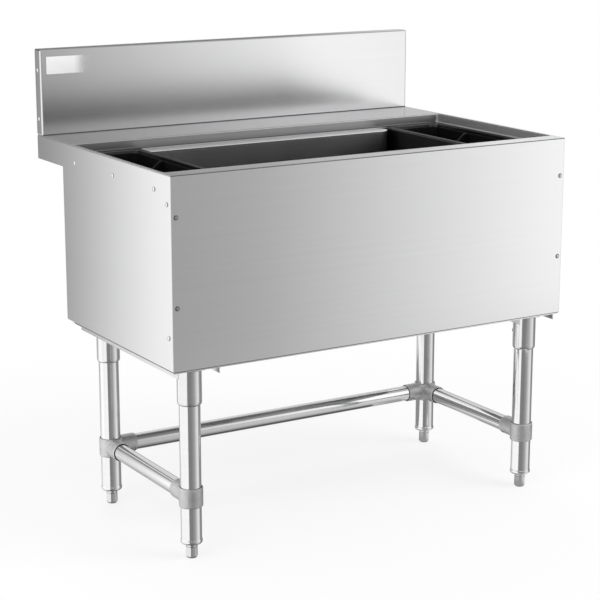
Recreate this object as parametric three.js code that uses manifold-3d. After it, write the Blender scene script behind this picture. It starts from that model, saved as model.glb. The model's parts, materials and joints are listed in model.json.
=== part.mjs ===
// Underbar ice bin: an insulated stainless tub between two bottle wells, on four braced legs.
// Millimetres, +Z up, the front faces -Y and the floor is z = 0.

import * as THREE from 'three';
import { mergeVertices } from 'three/addons/utils/BufferGeometryUtils.js';
import Module from 'manifold-3d';

const wasm = await Module();
wasm.setup();

// Gaps, overruns and the common sheet
const seat = 0.3; // left between two pieces that touch
const overrun = 2; // how far a cut runs past the face that it leaves
const sheet = 1.2; // stainless sheet of the pan, the panels and the tub
const weld = 1e-4; // vertices closer than this become one

// Overall sizes
const unit = {
  width: 914.4,
  depth: 609.6, // to the back of the rear overhang
  overhang: 127,
  rim: 762, // height of the rim over the floor
  body: 371.7, // height of the panels under the rim
  skirt: 50.8, // height of the overhang's sides
};

const splash = {
  height: 177.8,
  depth: 27,
  bend: 3, // outer radius of its folded edges
  lip: 22, // height of the lip that hangs from its top at the back
  hole: 4.4, // radius of the holes in its ends
  holeFromBack: 9.6,
  upperHole: 43.8, // from the splash's top
  lowerHole: 144.8,
};

const label = { width: 97, height: 37, thickness: 0.5, fromSide: 13.5, fromTop: 14.8, corner: 2 };

const pan = {
  frontRim: 38.1,
  sideRim: 7,
  recess: 406.4, // length of the sunken floor, front to back
  drop: 20, // depth of the sunken floor under the rim
  corner: 5, // radius of the recess's corners
  sideFlange: 47, // height of the flanges behind the side panels
  frontFlange: 27,
};

const well = {
  width: 116.5,
  sideLedge: 17.5, // floor between the recess's side wall and the well
  endLedge: 15, // floor in front of the well and behind it
  corner: 18,
  lip: 6, // steel edge that turns down round the opening
  depth: 228.6,
  wall: 2.5,
  fin: 44, // how far a fin stands out of the side wall
  finThickness: 6,
  finRound: 38, // radius of a fin's upper corner
  bays: 3,
  play: 0.6, // gap to the lip on every side, so that the well lifts out
};

const tub = {
  divider: 12.7, // floor between a well's opening and the tub's
  frontLedge: 14.3,
  depth: 304.8, // under the sunken floor
  corner: 10,
  flange: 6, // turned out under the pan's floor
};

// The boxed line run along the tub's rear wall
const chase = { depth: 45.9, rightGap: 10.7, topDrop: 1.3 };

const drain = {
  bore: 12.7,
  throat: 16.7,
  flange: 28.5,
  flangeThickness: 2,
  tail: 102, // length of the spout under the tub's floor
  nut: 26,
  nutHeight: 12,
  pocket: 31, // radius of the hole through the foam and the bottom cover
};

const shelf = { sheet: 1.2, backGap: 24 };

const post = { sideLeg: 27, frontLeg: 26 };

const sideFlange = { bottom: 25, back: 17 }; // inward flanges of a side panel

const cover = { inset: 2.2, front: 3, length: 448, lip: 3.4, plateDrop: 0.3 };

const channel = { width: 89, fromSide: 11.5, front: 5, length: 435, flange: 13.5, gauge: 1.5 };

const leg = {
  fromSide: 56,
  front: 45.7, // front leg axis behind the front face
  span: 361.2, // front leg axis to rear leg axis
  radius: 20.65,
  wall: 1.5,
  lowerEnd: 30,
  bead: 10, // height of the bead at the lower end
  beadRadius: 21.75,
  beadRound: 2,
  plug: 34, // height of the threaded plug in the lower end
};

const socket = {
  radius: 24,
  length: 76.4,
  crimp: 4,
  plate: 38,
  plateThickness: 3,
  screwOverEnd: 36.7,
};

const foot = {
  stem: 6.35,
  stemTop: 86,
  acrossCorners: 25.4,
  neck: 10.6,
  neckHeight: 6,
  chamfer: 3,
  sole: 9.6,
};

const clamp = { height: 125.2, ring: 23.75, halfHeight: 20, sleeve: 19.5, reach: 55, edge: 2 };

const brace = { radius: 17, wall: 1.5, fromAxis: 26.3 };

const sideScrew = {
  head: 4.6,
  headHeight: 2.6,
  shank: 2.1,
  length: 9,
  underRim: 35, // upper row
  firstBehindFront: 67.8,
  pitch: 177.05,
  cornerBehindFront: 16.8, // the pair near the front edge
  cornerUnderRim: 56,
  cornerOverBottom: 63.2,
};
const sideScrewsInRow = 3;

const frontScrew = {
  head: 4.2,
  headHeight: 1.8,
  shank: 2.1,
  length: 9,
  fromSide: 10,
  upperUnderRim: 78.7,
  lowerOverBottom: 122.2,
};

const setScrew = { radius: 3.2, proud: 1.2 };

// Numbers of flat sides that stand for a round
const sides = { corner: 3, small: 10, tube: 24, hexagon: 6 };

// Places that follow from the sizes
const half = unit.width / 2;
const front = -(unit.depth - frontScrew.headHeight) / 2; // the heads in front count in the depth
const rim = unit.rim;
const bottom = rim - unit.body;
const floor = rim - pan.drop;
const bodyDepth = unit.depth - unit.overhang;
const flangeSide = half - sheet - seat; // outer side of what lies behind a side panel
const flangeFront = sheet + seat; // front of what lies behind the front panel

const across = (inset) => [-half + inset, half - inset];
const along = (from, to) => [front + from, front + to];
const grow = ([low, high], by) => [low - by, high + by];
const ends = [-1, 1];

const recess = { x: across(pan.sideRim), y: along(pan.frontRim, pan.frontRim + pan.recess) };

const wellOuter = half - pan.sideRim - well.sideLedge;
const wellInner = wellOuter - well.width;
const wellY = grow(recess.y, -well.endLedge);
const wellSpan = (side) => (side < 0 ? [-wellOuter, -wellInner] : [wellInner, wellOuter]);

const tubHalf = wellInner - tub.divider;
const tubX = [-tubHalf, tubHalf];
const tubY = [recess.y[0] + tub.frontLedge, recess.y[1]];
const tubFloor = floor - tub.depth;
const tubTop = floor - sheet - seat;
const tubCentreY = (tubY[0] + tubY[1]) / 2;

const wellTop = floor - well.lip;
const wellBottom = wellTop - well.depth;

const coverTop = bottom - cover.plateDrop;
const coverBottom = coverTop - cover.lip;
const channelTop = coverTop - sheet - seat;
const socketTop = channelTop - channel.gauge - seat;

const legX = half - leg.fromSide;
const legY = [front + leg.front, front + leg.front + leg.span];
const legTop = socketTop - socket.plateThickness - seat;
const socketEnd = socketTop - socket.length;
const socketScrewZ = socketEnd + socket.screwOverEnd;

// Materials
const paint = (color, roughness, metalness) =>
  new THREE.MeshStandardMaterial({ color, roughness, metalness });
const steel = paint(0xc3c5c6, 0.32, 1);
const tubeSteel = paint(0xd6d8d9, 0.18, 1);
const castAluminium = paint(0xa9abac, 0.55, 0.9);
const blackPlastic = paint(0x0c0c0d, 0.45, 0);
const foamPlastic = paint(0xe4d9b0, 0.9, 0);
const labelFilm = paint(0xe9eaea, 0.4, 0);

// Solids from geometries, and meshes from solids

function solidOf(geometry) {
  geometry.deleteAttribute('normal');
  geometry.deleteAttribute('uv');
  const merged = mergeVertices(geometry, weld);
  const corners = merged.index.array;
  const kept = [];
  for (let i = 0; i < corners.length; i += 3) {
    const [a, b, c] = [corners[i], corners[i + 1], corners[i + 2]];
    if (a !== b && b !== c && c !== a) kept.push(a, b, c);
  }
  return new wasm.Manifold(new wasm.Mesh({
    numProp: 3,
    vertProperties: merged.attributes.position.array,
    triVerts: new Uint32Array(kept),
  }));
}

function block(x, y, z) {
  const box = new THREE.BoxGeometry(x[1] - x[0], y[1] - y[0], z[1] - z[0]);
  return solidOf(box.translate((x[0] + x[1]) / 2, (y[0] + y[1]) / 2, (z[0] + z[1]) / 2));
}

function extruded(shape, z) {
  const depth = z[1] - z[0];
  const options = { depth, bevelEnabled: false, curveSegments: sides.corner };
  return solidOf(new THREE.ExtrudeGeometry(shape, options).translate(0, 0, z[0]));
}

function roundedBlock(x, y, z, radius) {
  const shape = new THREE.Shape();
  shape.moveTo(x[0] + radius, y[0]);
  shape.absarc(x[1] - radius, y[0] + radius, radius, -Math.PI / 2, 0);
  shape.absarc(x[1] - radius, y[1] - radius, radius, 0, Math.PI / 2);
  shape.absarc(x[0] + radius, y[1] - radius, radius, Math.PI / 2, Math.PI);
  shape.absarc(x[0] + radius, y[0] + radius, radius, Math.PI, 1.5 * Math.PI);
  return extruded(shape, z);
}

// An outline in the Y-Z plane, given a thickness along X
function sideways(outline, x) {
  const shape = new THREE.Shape(outline.map(([y, z]) => new THREE.Vector2(y, z)));
  const depth = x[1] - x[0];
  const geometry = new THREE.ExtrudeGeometry(shape, { depth, bevelEnabled: false });
  const upright = new THREE.Matrix4().makeBasis(
    new THREE.Vector3(0, 1, 0), new THREE.Vector3(0, 0, 1), new THREE.Vector3(1, 0, 0),
  );
  return solidOf(geometry.applyMatrix4(upright).translate(x[0], 0, 0));
}

// A profile of [radius, height] points, turned round the Z axis
function turned(profile, count = sides.tube) {
  const points = profile.map(([radius, height]) => new THREE.Vector2(radius, height));
  return solidOf(new THREE.LatheGeometry(points, count).rotateX(Math.PI / 2));
}

// A plain cylinder along X, Y or Z
function rod(radius, centre, span, axis, count = sides.tube) {
  const geometry = new THREE.CylinderGeometry(radius, radius, span[1] - span[0], count);
  const middle = (span[0] + span[1]) / 2;
  if (axis === 'x') geometry.rotateZ(Math.PI / 2).translate(middle, centre[0], centre[1]);
  if (axis === 'y') geometry.translate(centre[0], middle, centre[1]);
  if (axis === 'z') geometry.rotateX(Math.PI / 2).translate(centre[0], centre[1], middle);
  return solidOf(geometry);
}

const joined = (solids) => solids.reduce((sum, solid) => sum.add(solid));
const cutBy = (solid, cuts) => cuts.reduce((rest, cut) => rest.subtract(cut), solid);

function meshOf(name, solid, material) {
  const { numProp, vertProperties, triVerts } = solid.getMesh();
  const geometry = new THREE.BufferGeometry();
  geometry.setAttribute('position', new THREE.BufferAttribute(vertProperties, numProp));
  geometry.setIndex(new THREE.BufferAttribute(triVerts, 1));
  geometry.computeVertexNormals();
  const mesh = new THREE.Mesh(geometry, material);
  mesh.name = name;
  return mesh;
}

// Where the screws go: [y, z] on a side panel, [x, z] on the front panel
const sideScrewPlaces = [
  ...Array.from({ length: sideScrewsInRow }, (_, i) => [
    front + sideScrew.firstBehindFront + i * sideScrew.pitch, rim - sideScrew.underRim,
  ]),
  [front + sideScrew.cornerBehindFront, rim - sideScrew.cornerUnderRim],
  [front + sideScrew.cornerBehindFront, bottom + sideScrew.cornerOverBottom],
];
const frontScrewPlaces = ends.flatMap((side) => [
  [side * (half - frontScrew.fromSide), rim - frontScrew.upperUnderRim],
  [side * (half - frontScrew.fromSide), bottom + frontScrew.lowerOverBottom],
]);

const sideScrewHoles = (side) => sideScrewPlaces.map((place) => {
  const reach = [half - sideScrew.length, half + overrun];
  const span = side < 0 ? [-reach[1], -reach[0]] : reach;
  return rod(sideScrew.shank + seat, place, span, 'x', sides.small);
});
const frontScrewHoles = () => frontScrewPlaces.map((place) =>
  rod(frontScrew.shank + seat, place, along(-overrun, frontScrew.length), 'y', sides.small));

// A span on one side of the unit, from an inner to an outer distance
const onSide = (side, inner, outer) => (side < 0 ? [-outer, -inner] : [inner, outer]);

function topPan() {
  const top = block(across(0), along(0, unit.depth), [rim - sheet, rim]);
  const cup = roundedBlock(
    grow(recess.x, sheet), grow(recess.y, sheet), [floor - sheet, rim], pan.corner + sheet,
  );
  const flangeTop = rim - sheet / 2;
  const sideFlanges = ends.map((side) => block(
    onSide(side, flangeSide - sheet, flangeSide),
    along(flangeFront, unit.depth), [rim - pan.sideFlange, flangeTop],
  ));
  const frontFlange = block(
    [-flangeSide, flangeSide], along(flangeFront, flangeFront + sheet),
    [rim - pan.frontFlange, flangeTop],
  );
  const rearFlange = block(
    [-flangeSide, flangeSide], along(unit.depth - sheet, unit.depth), [rim - unit.skirt, flangeTop],
  );
  const hollow = roundedBlock(recess.x, recess.y, [floor, rim + overrun], pan.corner);
  const lips = ends.map((side) => roundedBlock(
    grow(wellSpan(side), sheet), grow(wellY, sheet), [wellTop, floor], well.corner + sheet,
  ));
  const through = [wellTop - overrun, floor + overrun];
  const mouths = ends.map((side) => roundedBlock(wellSpan(side), wellY, through, well.corner));
  const tubMouth = roundedBlock(tubX, tubY, through, tub.corner);
  const shell = joined([top, cup, ...sideFlanges, frontFlange, rearFlange]).subtract(hollow);
  const cuts = [...mouths, tubMouth, ...ends.flatMap(sideScrewHoles)];
  return meshOf('top_pan', cutBy(joined([shell, ...lips]), cuts), steel);
}

function backsplash() {
  const z = [rim + seat, rim + splash.height];
  const y = along(unit.depth - splash.depth, unit.depth);
  const openBack = [y[0], y[1] + splash.depth];
  const outer = roundedBlock(across(0), openBack, z, splash.bend);
  const insideY = [y[0] + sheet, openBack[1] + overrun];
  const inner = roundedBlock(
    across(sheet), insideY, [z[0] - overrun, z[1] - sheet], splash.bend - sheet,
  );
  const behind = block(across(-overrun), [y[1], openBack[1] + overrun], grow(z, overrun));
  const lip = block(across(sheet / 2), [y[1] - sheet, y[1]], [z[1] - splash.lip, z[1] - sheet / 2]);
  const holes = [splash.upperHole, splash.lowerHole].map((drop) => rod(
    splash.hole, [y[1] - splash.holeFromBack, z[1] - drop], across(-overrun), 'x', sides.small,
  ));
  const channelSolid = cutBy(outer, [inner, behind]).add(lip);
  return meshOf('backsplash', cutBy(channelSolid, holes), steel);
}

function labelPlate() {
  const x = [-half + label.fromSide, -half + label.fromSide + label.width];
  const faceY = front + unit.depth - splash.depth - seat;
  const top = rim + splash.height - label.fromTop;
  const plate = roundedBlock(x, [top - label.height, top], [0, label.thickness], label.corner);
  const mesh = meshOf('label_plate', plate, labelFilm);
  mesh.rotation.x = Math.PI / 2;
  mesh.position.y = faceY;
  return mesh;
}

function frontPanel() {
  const panel = block(across(0), along(0, sheet), [bottom, rim - sheet - seat]);
  return meshOf('front_panel', cutBy(panel, frontScrewHoles()), steel);
}

function sidePanel(name, side) {
  const top = rim - sheet - seat;
  const [start, bodyBack, back] = [sheet + seat, bodyDepth, unit.depth].map((y) => front + y);
  const outline = [
    [start, bottom], [bodyBack, bottom], [bodyBack, rim - unit.skirt],
    [back, rim - unit.skirt], [back, top], [start, top],
  ];
  const skin = sideways(outline, onSide(side, half - sheet, half));
  const bottomFlange = block(
    onSide(side, half - sideFlange.bottom, half - sheet / 2),
    [start + sheet, bodyBack - sheet - seat], [bottom, bottom + sheet],
  );
  const rearFlange = block(
    onSide(side, half - sideFlange.back, half - sheet / 2),
    [bodyBack - 2 * sheet - seat, bodyBack - sheet - seat], [bottom, rim - unit.skirt],
  );
  const solid = joined([skin, bottomFlange, rearFlange]);
  return meshOf(name, cutBy(solid, sideScrewHoles(side)), steel);
}

function backPanel() {
  const x = grow([-flangeSide, flangeSide], -sheet - seat);
  const y = along(bodyDepth - sheet, bodyDepth);
  const returnFlange = block(
    across(sideFlange.bottom + seat), along(cover.front + cover.length + seat, bodyDepth),
    [bottom, bottom + sheet],
  );
  const panel = block(x, y, [bottom, rim - sheet - seat]);
  return meshOf('back_panel', panel.add(returnFlange), steel);
}

// The angle behind each front corner, which the screws near the corner bite in
function cornerPost(name, side) {
  const z = [bottom + sheet + seat, rim - pan.sideFlange - seat];
  const legs = [
    block(onSide(side, flangeSide - sheet, flangeSide), along(flangeFront, post.sideLeg), z),
    block(
      onSide(side, flangeSide - post.frontLeg, flangeSide),
      along(flangeFront, flangeFront + sheet), z,
    ),
  ];
  return meshOf(name, cutBy(joined(legs), [...sideScrewHoles(side), ...frontScrewHoles()]), steel);
}

function bottomCover() {
  const x = across(cover.inset);
  const y = along(cover.front, cover.front + cover.length);
  const plate = block(x, y, [coverBottom, coverTop]);
  const under = block(
    grow(x, -sheet), grow(y, -sheet), [coverBottom - overrun, coverTop - sheet],
  );
  const drainHole = rod(drain.pocket, [0, tubCentreY], grow([coverBottom, coverTop], overrun), 'z');
  return meshOf('bottom_cover', cutBy(plate, [under, drainHole]), steel);
}

function iceTub() {
  const outerX = grow(tubX, sheet);
  const outerY = grow(tubY, sheet);
  const wall = roundedBlock(outerX, outerY, [tubFloor - sheet, tubTop], tub.corner + sheet);
  const flange = roundedBlock(
    grow(outerX, tub.flange), [outerY[0] - tub.flange, outerY[1]], [tubTop - sheet, tubTop],
    tub.corner + sheet,
  );
  const inside = roundedBlock(tubX, tubY, [tubFloor, tubTop + overrun], tub.corner);
  const drainHole = rod(
    drain.throat + seat, [0, tubCentreY], grow([tubFloor - sheet, tubFloor], overrun), 'z',
  );
  return meshOf('ice_tub', cutBy(wall.add(flange), [inside, drainHole]), steel);
}

// The box along the tub's rear wall, whose top shows as a strip with a round right end
function lineChase() {
  const right = tubHalf - chase.rightGap;
  const y = [tubY[1] - seat - chase.depth, tubY[1] - seat];
  const left = -tubHalf + seat;
  const radius = chase.depth / 2;
  const outline = (inset) => {
    const shape = new THREE.Shape();
    shape.moveTo(left + inset, y[0] + inset);
    shape.lineTo(right - radius, y[0] + inset);
    shape.absarc(right - radius, y[0] + radius, radius - inset, -Math.PI / 2, Math.PI / 2);
    shape.absarc(left + tub.corner, y[1] - tub.corner, tub.corner - inset, Math.PI / 2, Math.PI);
    return shape;
  };
  const z = [tubFloor + seat, floor - chase.topDrop];
  const hollow = extruded(outline(sheet), [z[0] - overrun, z[1] - sheet]);
  return meshOf('line_chase', extruded(outline(0), z).subtract(hollow), steel);
}

function insulationJacket() {
  const x = grow([-wellInner, wellInner], -sheet - seat);
  const y = along(flangeFront + sheet + seat, bodyDepth - sheet - seat);
  const z = [bottom + sheet + seat, tubTop - sheet - seat];
  const jacket = block(x, y, z);
  const room = roundedBlock(
    grow(tubX, sheet + seat), grow(tubY, sheet + seat), [tubFloor - sheet - seat, z[1] + overrun],
    tub.corner + sheet + seat,
  );
  const pocket = rod(drain.pocket, [0, tubCentreY], [z[0] - overrun, tubFloor], 'z');
  return meshOf('insulation_jacket', cutBy(jacket, [room, pocket]), foamPlastic);
}

function drainFitting() {
  const lip = drain.flangeThickness;
  const profile = [
    [drain.bore, -drain.tail], [drain.throat, -drain.tail], [drain.throat, seat],
    [drain.flange, seat], [drain.flange, seat + lip / 2], [drain.flange - lip, seat + lip],
    [drain.bore, seat + lip], [drain.bore, -drain.tail],
  ];
  const mesh = meshOf('drain_fitting', turned(profile), tubeSteel);
  mesh.position.set(0, tubCentreY, tubFloor);
  return mesh;
}

function drainNut() {
  const top = -sheet - seat;
  const z = [top - drain.nutHeight, top];
  const nut = rod(drain.nut, [0, 0], z, 'z', sides.hexagon);
  const hole = rod(drain.throat + seat, [0, 0], grow(z, overrun), 'z');
  const mesh = meshOf('drain_nut', nut.subtract(hole), castAluminium);
  mesh.position.set(0, tubCentreY, tubFloor);
  return mesh;
}

// A bottle well with fins that part it into bays
function bottleWell(name, side) {
  const x = grow(wellSpan(side), -well.play);
  const y = grow(wellY, -well.play);
  const z = [wellBottom, wellTop];
  const corner = well.corner - well.play;
  const outer = roundedBlock(x, y, z, corner);
  const insideX = grow(x, -well.wall);
  const insideY = grow(y, -well.wall);
  const inside = roundedBlock(
    insideX, insideY, [z[0] + well.wall, z[1] + overrun], corner - well.wall,
  );
  const pitch = (insideY[1] - insideY[0]) / well.bays;
  const fins = Array.from({ length: well.bays - 1 }, (_, i) => {
    const middle = insideY[0] + (i + 1) * pitch;
    const thick = [middle - well.finThickness / 2, middle + well.finThickness / 2];
    return ends.map((wallSide) => {
      const finX = wallSide < 0
        ? [x[0] + well.wall / 2, insideX[0] + well.fin]
        : [insideX[1] - well.fin, x[1] - well.wall / 2];
      const plate = block(finX, thick, [z[0] + well.wall / 2, z[1]]);
      const tip = wallSide < 0 ? finX[1] : finX[0];
      const centre = [tip + wallSide * well.finRound, z[1] - well.finRound];
      const square = block(
        wallSide < 0 ? [centre[0], tip + overrun] : [tip - overrun, centre[0]],
        grow(thick, overrun), [centre[1], z[1] + overrun],
      );
      const round = rod(well.finRound, centre, grow(thick, 2 * overrun), 'y', 2 * sides.tube);
      return plate.subtract(square.subtract(round));
    });
  }).flat();
  return meshOf(name, joined([outer.subtract(inside), ...fins]), blackPlastic);
}

// A bench of bent sheet under each bottle well, on the side panel's bottom flange
function wellShelf(name, side) {
  const x = onSide(side, wellInner + well.play, flangeSide);
  const y = along(post.sideLeg + seat, bodyDepth - shelf.backGap);
  const z = [bottom + sheet + seat, wellBottom - seat];
  const bench = block(x, y, z);
  const room = block(
    grow(x, -shelf.sheet), grow(y, overrun), [z[0] - overrun, z[1] - shelf.sheet],
  );
  return meshOf(name, bench.subtract(room), steel);
}

function legChannel(name, side) {
  const x = onSide(side, half - channel.fromSide - channel.width, half - channel.fromSide);
  const y = along(channel.front, channel.front + channel.length);
  const z = [channelTop - channel.flange, channelTop];
  const room = block(
    grow(x, -channel.gauge), grow(y, overrun), [z[0] - overrun, z[1] - channel.gauge],
  );
  return meshOf(name, block(x, y, z).subtract(room), steel);
}

function legSocket(name) {
  const bore = leg.radius + seat;
  const body = turned([
    [0, socketTop], [0, legTop + seat], [bore, legTop + seat], [bore, socketEnd],
    [socket.radius - socket.crimp / 2, socketEnd],
    [socket.radius, socketEnd + socket.crimp],
    [socket.radius, socketTop - socket.plateThickness],
    [socket.plate, socketTop - socket.plateThickness], [socket.plate, socketTop], [0, socketTop],
  ]);
  const screwHole = rod(
    setScrew.radius + seat, [0, socketScrewZ], [bore - overrun, socket.radius + overrun],
    'x', sides.small,
  );
  return meshOf(name, body.subtract(screwHole), castAluminium);
}

function socketScrew(name) {
  const span = [leg.radius + seat, socket.radius + setScrew.proud];
  const screw = rod(setScrew.radius, [0, socketScrewZ], span, 'x', sides.small);
  return meshOf(name, screw, castAluminium);
}

function legTube(name) {
  const inner = leg.radius - leg.wall;
  const bore = foot.stem + seat;
  const plugTop = leg.lowerEnd + leg.plug;
  const profile = [
    [bore, leg.lowerEnd], [leg.beadRadius - leg.beadRound, leg.lowerEnd],
    [leg.beadRadius, leg.lowerEnd + leg.beadRound],
    [leg.beadRadius, leg.lowerEnd + leg.bead - leg.beadRound],
    [leg.radius, leg.lowerEnd + leg.bead], [leg.radius, legTop], [inner, legTop],
    [inner, plugTop], [bore, plugTop], [bore, leg.lowerEnd],
  ];
  return meshOf(name, turned(profile), tubeSteel);
}

function levellingFoot(name) {
  const top = leg.lowerEnd - seat;
  const hexTop = top - foot.neckHeight;
  const hexagon = rod(foot.acrossCorners / 2, [0, 0], [foot.chamfer, hexTop], 'z', sides.hexagon);
  const tip = new THREE.CylinderGeometry(
    foot.acrossCorners / 2, foot.sole, foot.chamfer, sides.hexagon,
  );
  const sole = solidOf(tip.rotateX(Math.PI / 2).translate(0, 0, foot.chamfer / 2));
  const neck = rod(foot.neck, [0, 0], [foot.chamfer, top], 'z', sides.small);
  const stem = rod(foot.stem, [0, 0], [foot.chamfer, foot.stemTop], 'z', sides.small);
  return meshOf(name, joined([hexagon, sole, neck, stem]), tubeSteel);
}

// A cast ring round the leg with a sleeve for each brace; arms are unit vectors in the plan
function braceClamp(name, arms) {
  const z = [clamp.height - clamp.halfHeight, clamp.height + clamp.halfHeight];
  const ring = turned([
    [0, z[0]], [clamp.ring - clamp.edge, z[0]], [clamp.ring, z[0] + clamp.edge],
    [clamp.ring, z[1] - clamp.edge], [clamp.ring - clamp.edge, z[1]], [0, z[1]],
  ]);
  const reach = (arm, from, to, radius) => {
    const axis = arm[0] ? 'x' : 'y';
    const way = arm[0] + arm[1];
    const span = way < 0 ? [-to, -from] : [from, to];
    return rod(radius, [0, clamp.height], span, axis);
  };
  const sleeves = arms.map((arm) => reach(arm, 0, clamp.reach, clamp.sleeve));
  const bores = arms.map((arm) =>
    reach(arm, brace.fromAxis - seat, clamp.reach + overrun, brace.radius + seat));
  const legBore = rod(leg.radius + seat, [0, 0], grow(z, overrun), 'z');
  return meshOf(name, cutBy(joined([ring, ...sleeves]), [...bores, legBore]), castAluminium);
}

function braceTube(name, from, to) {
  const length = from.distanceTo(to) - 2 * brace.fromAxis;
  const [inner, outer, end] = [brace.radius - brace.wall, brace.radius, length / 2];
  const tube = turned([[inner, -end], [outer, -end], [outer, end], [inner, end], [inner, -end]]);
  const mesh = meshOf(name, tube, tubeSteel);
  const direction = to.clone().sub(from).normalize();
  mesh.quaternion.setFromUnitVectors(new THREE.Vector3(0, 0, 1), direction);
  mesh.position.copy(from).add(to).divideScalar(2);
  return mesh;
}

// A domed screw whose head sits on the plane z = 0 and whose shank goes down
const domeShares = [[1, 0], [0.97, 0.4], [0.72, 0.8], [0, 1]];

function screw(name, size) {
  const dome = domeShares.map(([out, up]) => [
    out * size.head, seat + up * (size.headHeight - seat),
  ]);
  const profile = [[0, -size.length], [size.shank, -size.length], [size.shank, seat], ...dome];
  return meshOf(name, turned(profile, sides.small), tubeSteel);
}

const bin = new THREE.Group();
bin.add(frontPanel(), backPanel(), bottomCover(), topPan(), backsplash(), labelPlate());
bin.add(iceTub(), lineChase(), insulationJacket(), drainFitting(), drainNut());

for (const [word, side] of [['left', -1], ['right', 1]]) {
  bin.add(sidePanel(`${word}_side_panel`, side), cornerPost(`${word}_corner_post`, side));
  bin.add(bottleWell(`${word}_bottle_well`, side), wellShelf(`${word}_well_shelf`, side));
  bin.add(legChannel(`${word}_leg_channel`, side));
  sideScrewPlaces.forEach(([y, z], i) => {
    const mesh = screw(`${word}_side_screw_${i + 1}`, sideScrew);
    mesh.rotation.y = side * Math.PI / 2;
    mesh.position.set(side * half, y, z);
    bin.add(mesh);
  });
}

frontScrewPlaces.forEach(([x, z], i) => {
  const mesh = screw(`front_screw_${i + 1}`, frontScrew);
  mesh.rotation.x = Math.PI / 2;
  mesh.position.set(x, front, z);
  bin.add(mesh);
});

// One group per leg, with its socket, tube, foot and clamp
for (const [word, side, row] of [
  ['front_left', -1, 0], ['front_right', 1, 0], ['rear_left', -1, 1], ['rear_right', 1, 1],
]) {
  const stand = new THREE.Group();
  stand.position.set(side * legX, legY[row], 0);
  const arms = row === 0 ? [[0, 1]] : [[0, -1], [-side, 0]];
  const inward = new THREE.Group(); // the set screw faces the middle of the unit
  inward.rotation.z = Math.atan2(row === 0 ? 1 : -1, -side);
  inward.add(legSocket(`${word}_leg_socket`), socketScrew(`${word}_socket_screw`));
  stand.add(inward, legTube(`${word}_leg_tube`), levellingFoot(`${word}_foot`));
  stand.add(braceClamp(`${word}_brace_clamp`, arms));
  bin.add(stand);
}

const joint = (side, row) => new THREE.Vector3(side * legX, legY[row], clamp.height);
bin.add(braceTube('left_brace', joint(-1, 0), joint(-1, 1)));
bin.add(braceTube('right_brace', joint(1, 0), joint(1, 1)));
bin.add(braceTube('rear_brace', joint(-1, 1), joint(1, 1)));

export default bin;
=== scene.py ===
import json
import math

import bmesh
import bpy
from mathutils import Matrix, Vector

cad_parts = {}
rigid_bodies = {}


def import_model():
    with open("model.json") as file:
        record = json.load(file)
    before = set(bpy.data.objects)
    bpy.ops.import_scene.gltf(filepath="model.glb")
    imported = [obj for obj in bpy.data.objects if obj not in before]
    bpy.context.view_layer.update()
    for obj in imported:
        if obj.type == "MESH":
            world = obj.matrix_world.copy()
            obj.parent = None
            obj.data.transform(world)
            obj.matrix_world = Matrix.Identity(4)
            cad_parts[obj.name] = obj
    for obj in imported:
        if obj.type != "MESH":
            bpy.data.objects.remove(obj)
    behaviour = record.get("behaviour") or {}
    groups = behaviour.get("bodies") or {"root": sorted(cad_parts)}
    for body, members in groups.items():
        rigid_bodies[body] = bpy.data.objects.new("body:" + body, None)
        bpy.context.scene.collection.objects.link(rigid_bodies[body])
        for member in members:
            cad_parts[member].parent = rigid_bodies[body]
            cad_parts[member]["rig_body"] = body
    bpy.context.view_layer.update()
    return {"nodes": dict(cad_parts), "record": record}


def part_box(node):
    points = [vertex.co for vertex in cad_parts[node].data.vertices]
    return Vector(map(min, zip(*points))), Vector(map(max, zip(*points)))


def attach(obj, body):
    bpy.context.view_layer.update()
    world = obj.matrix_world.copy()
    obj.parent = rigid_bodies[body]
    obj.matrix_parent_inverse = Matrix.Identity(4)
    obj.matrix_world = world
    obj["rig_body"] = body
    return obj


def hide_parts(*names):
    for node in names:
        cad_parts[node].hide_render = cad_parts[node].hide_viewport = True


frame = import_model()
scene = bpy.context.scene
nodes = frame["nodes"]
print("ice bin: frame loaded,", len(nodes), "nodes")

mm = 0.001  # pieces are drawn in millimetres and scaled once
sheet = 1.2
sheetSharp = 32  # degrees; a steeper edge is shaded sharp
cornerTurn = 0.7  # radians; an edge of a CAD sheet that turns more is a corner
sheetGrain = {"along": (1, 0, 0), "stretch": (5, 700, 700)}
sideGrain = {"along": (0, 1, 0), "stretch": (700, 5, 700)}


# camera and studio

view = {
    "place": (-1.9111, -3.1664, 1.3028),
    "yaw": 31.12,
    "pitch": 13.56,
    "lens": 107.37,
}


def newObject(name, data):
    made = bpy.data.objects.new(name, data)
    scene.collection.objects.link(made)
    return made


def placeCamera():
    data = bpy.data.cameras.new("photoCamera")
    data.lens = view["lens"]
    data.sensor_width = 36
    data.clip_end = 50
    camera = newObject("photoCamera", data)
    camera.location = view["place"]
    camera.rotation_euler = (math.radians(90 - view["pitch"]), 0, -math.radians(view["yaw"]))
    scene.camera = camera


def wire(tree, source, target):
    tree.links.new(source, target)


def node(tree, kind, inputs=None, **settings):
    # a shader node; an input that is given a socket gets linked to it
    made = tree.nodes.new("ShaderNode" + kind)
    for key, value in settings.items():
        setattr(made, key, value)
    for key, value in (inputs or {}).items():
        if isinstance(value, bpy.types.NodeSocket):
            wire(tree, value, made.inputs[key])
        else:
            made.inputs[key].default_value = value
    return made


def calc(tree, operation, *values, **settings):
    return node(tree, "Math", dict(enumerate(values)), operation=operation, **settings).outputs[0]


def vectorCalc(tree, operation, *values):
    made = node(tree, "VectorMath", dict(enumerate(values)), operation=operation)
    return made.outputs["Value" if operation in ("LENGTH", "DOT_PRODUCT") else "Vector"]


def mapped(tree, value, start=(0, 1), end=(0, 1), **settings):
    # stretches a value from the start span to the end span
    return node(tree, "MapRange", {
        "Value": value, "From Min": start[0], "From Max": start[1], "To Min": end[0], "To Max": end[1],
    }, **settings).outputs[0]


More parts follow.
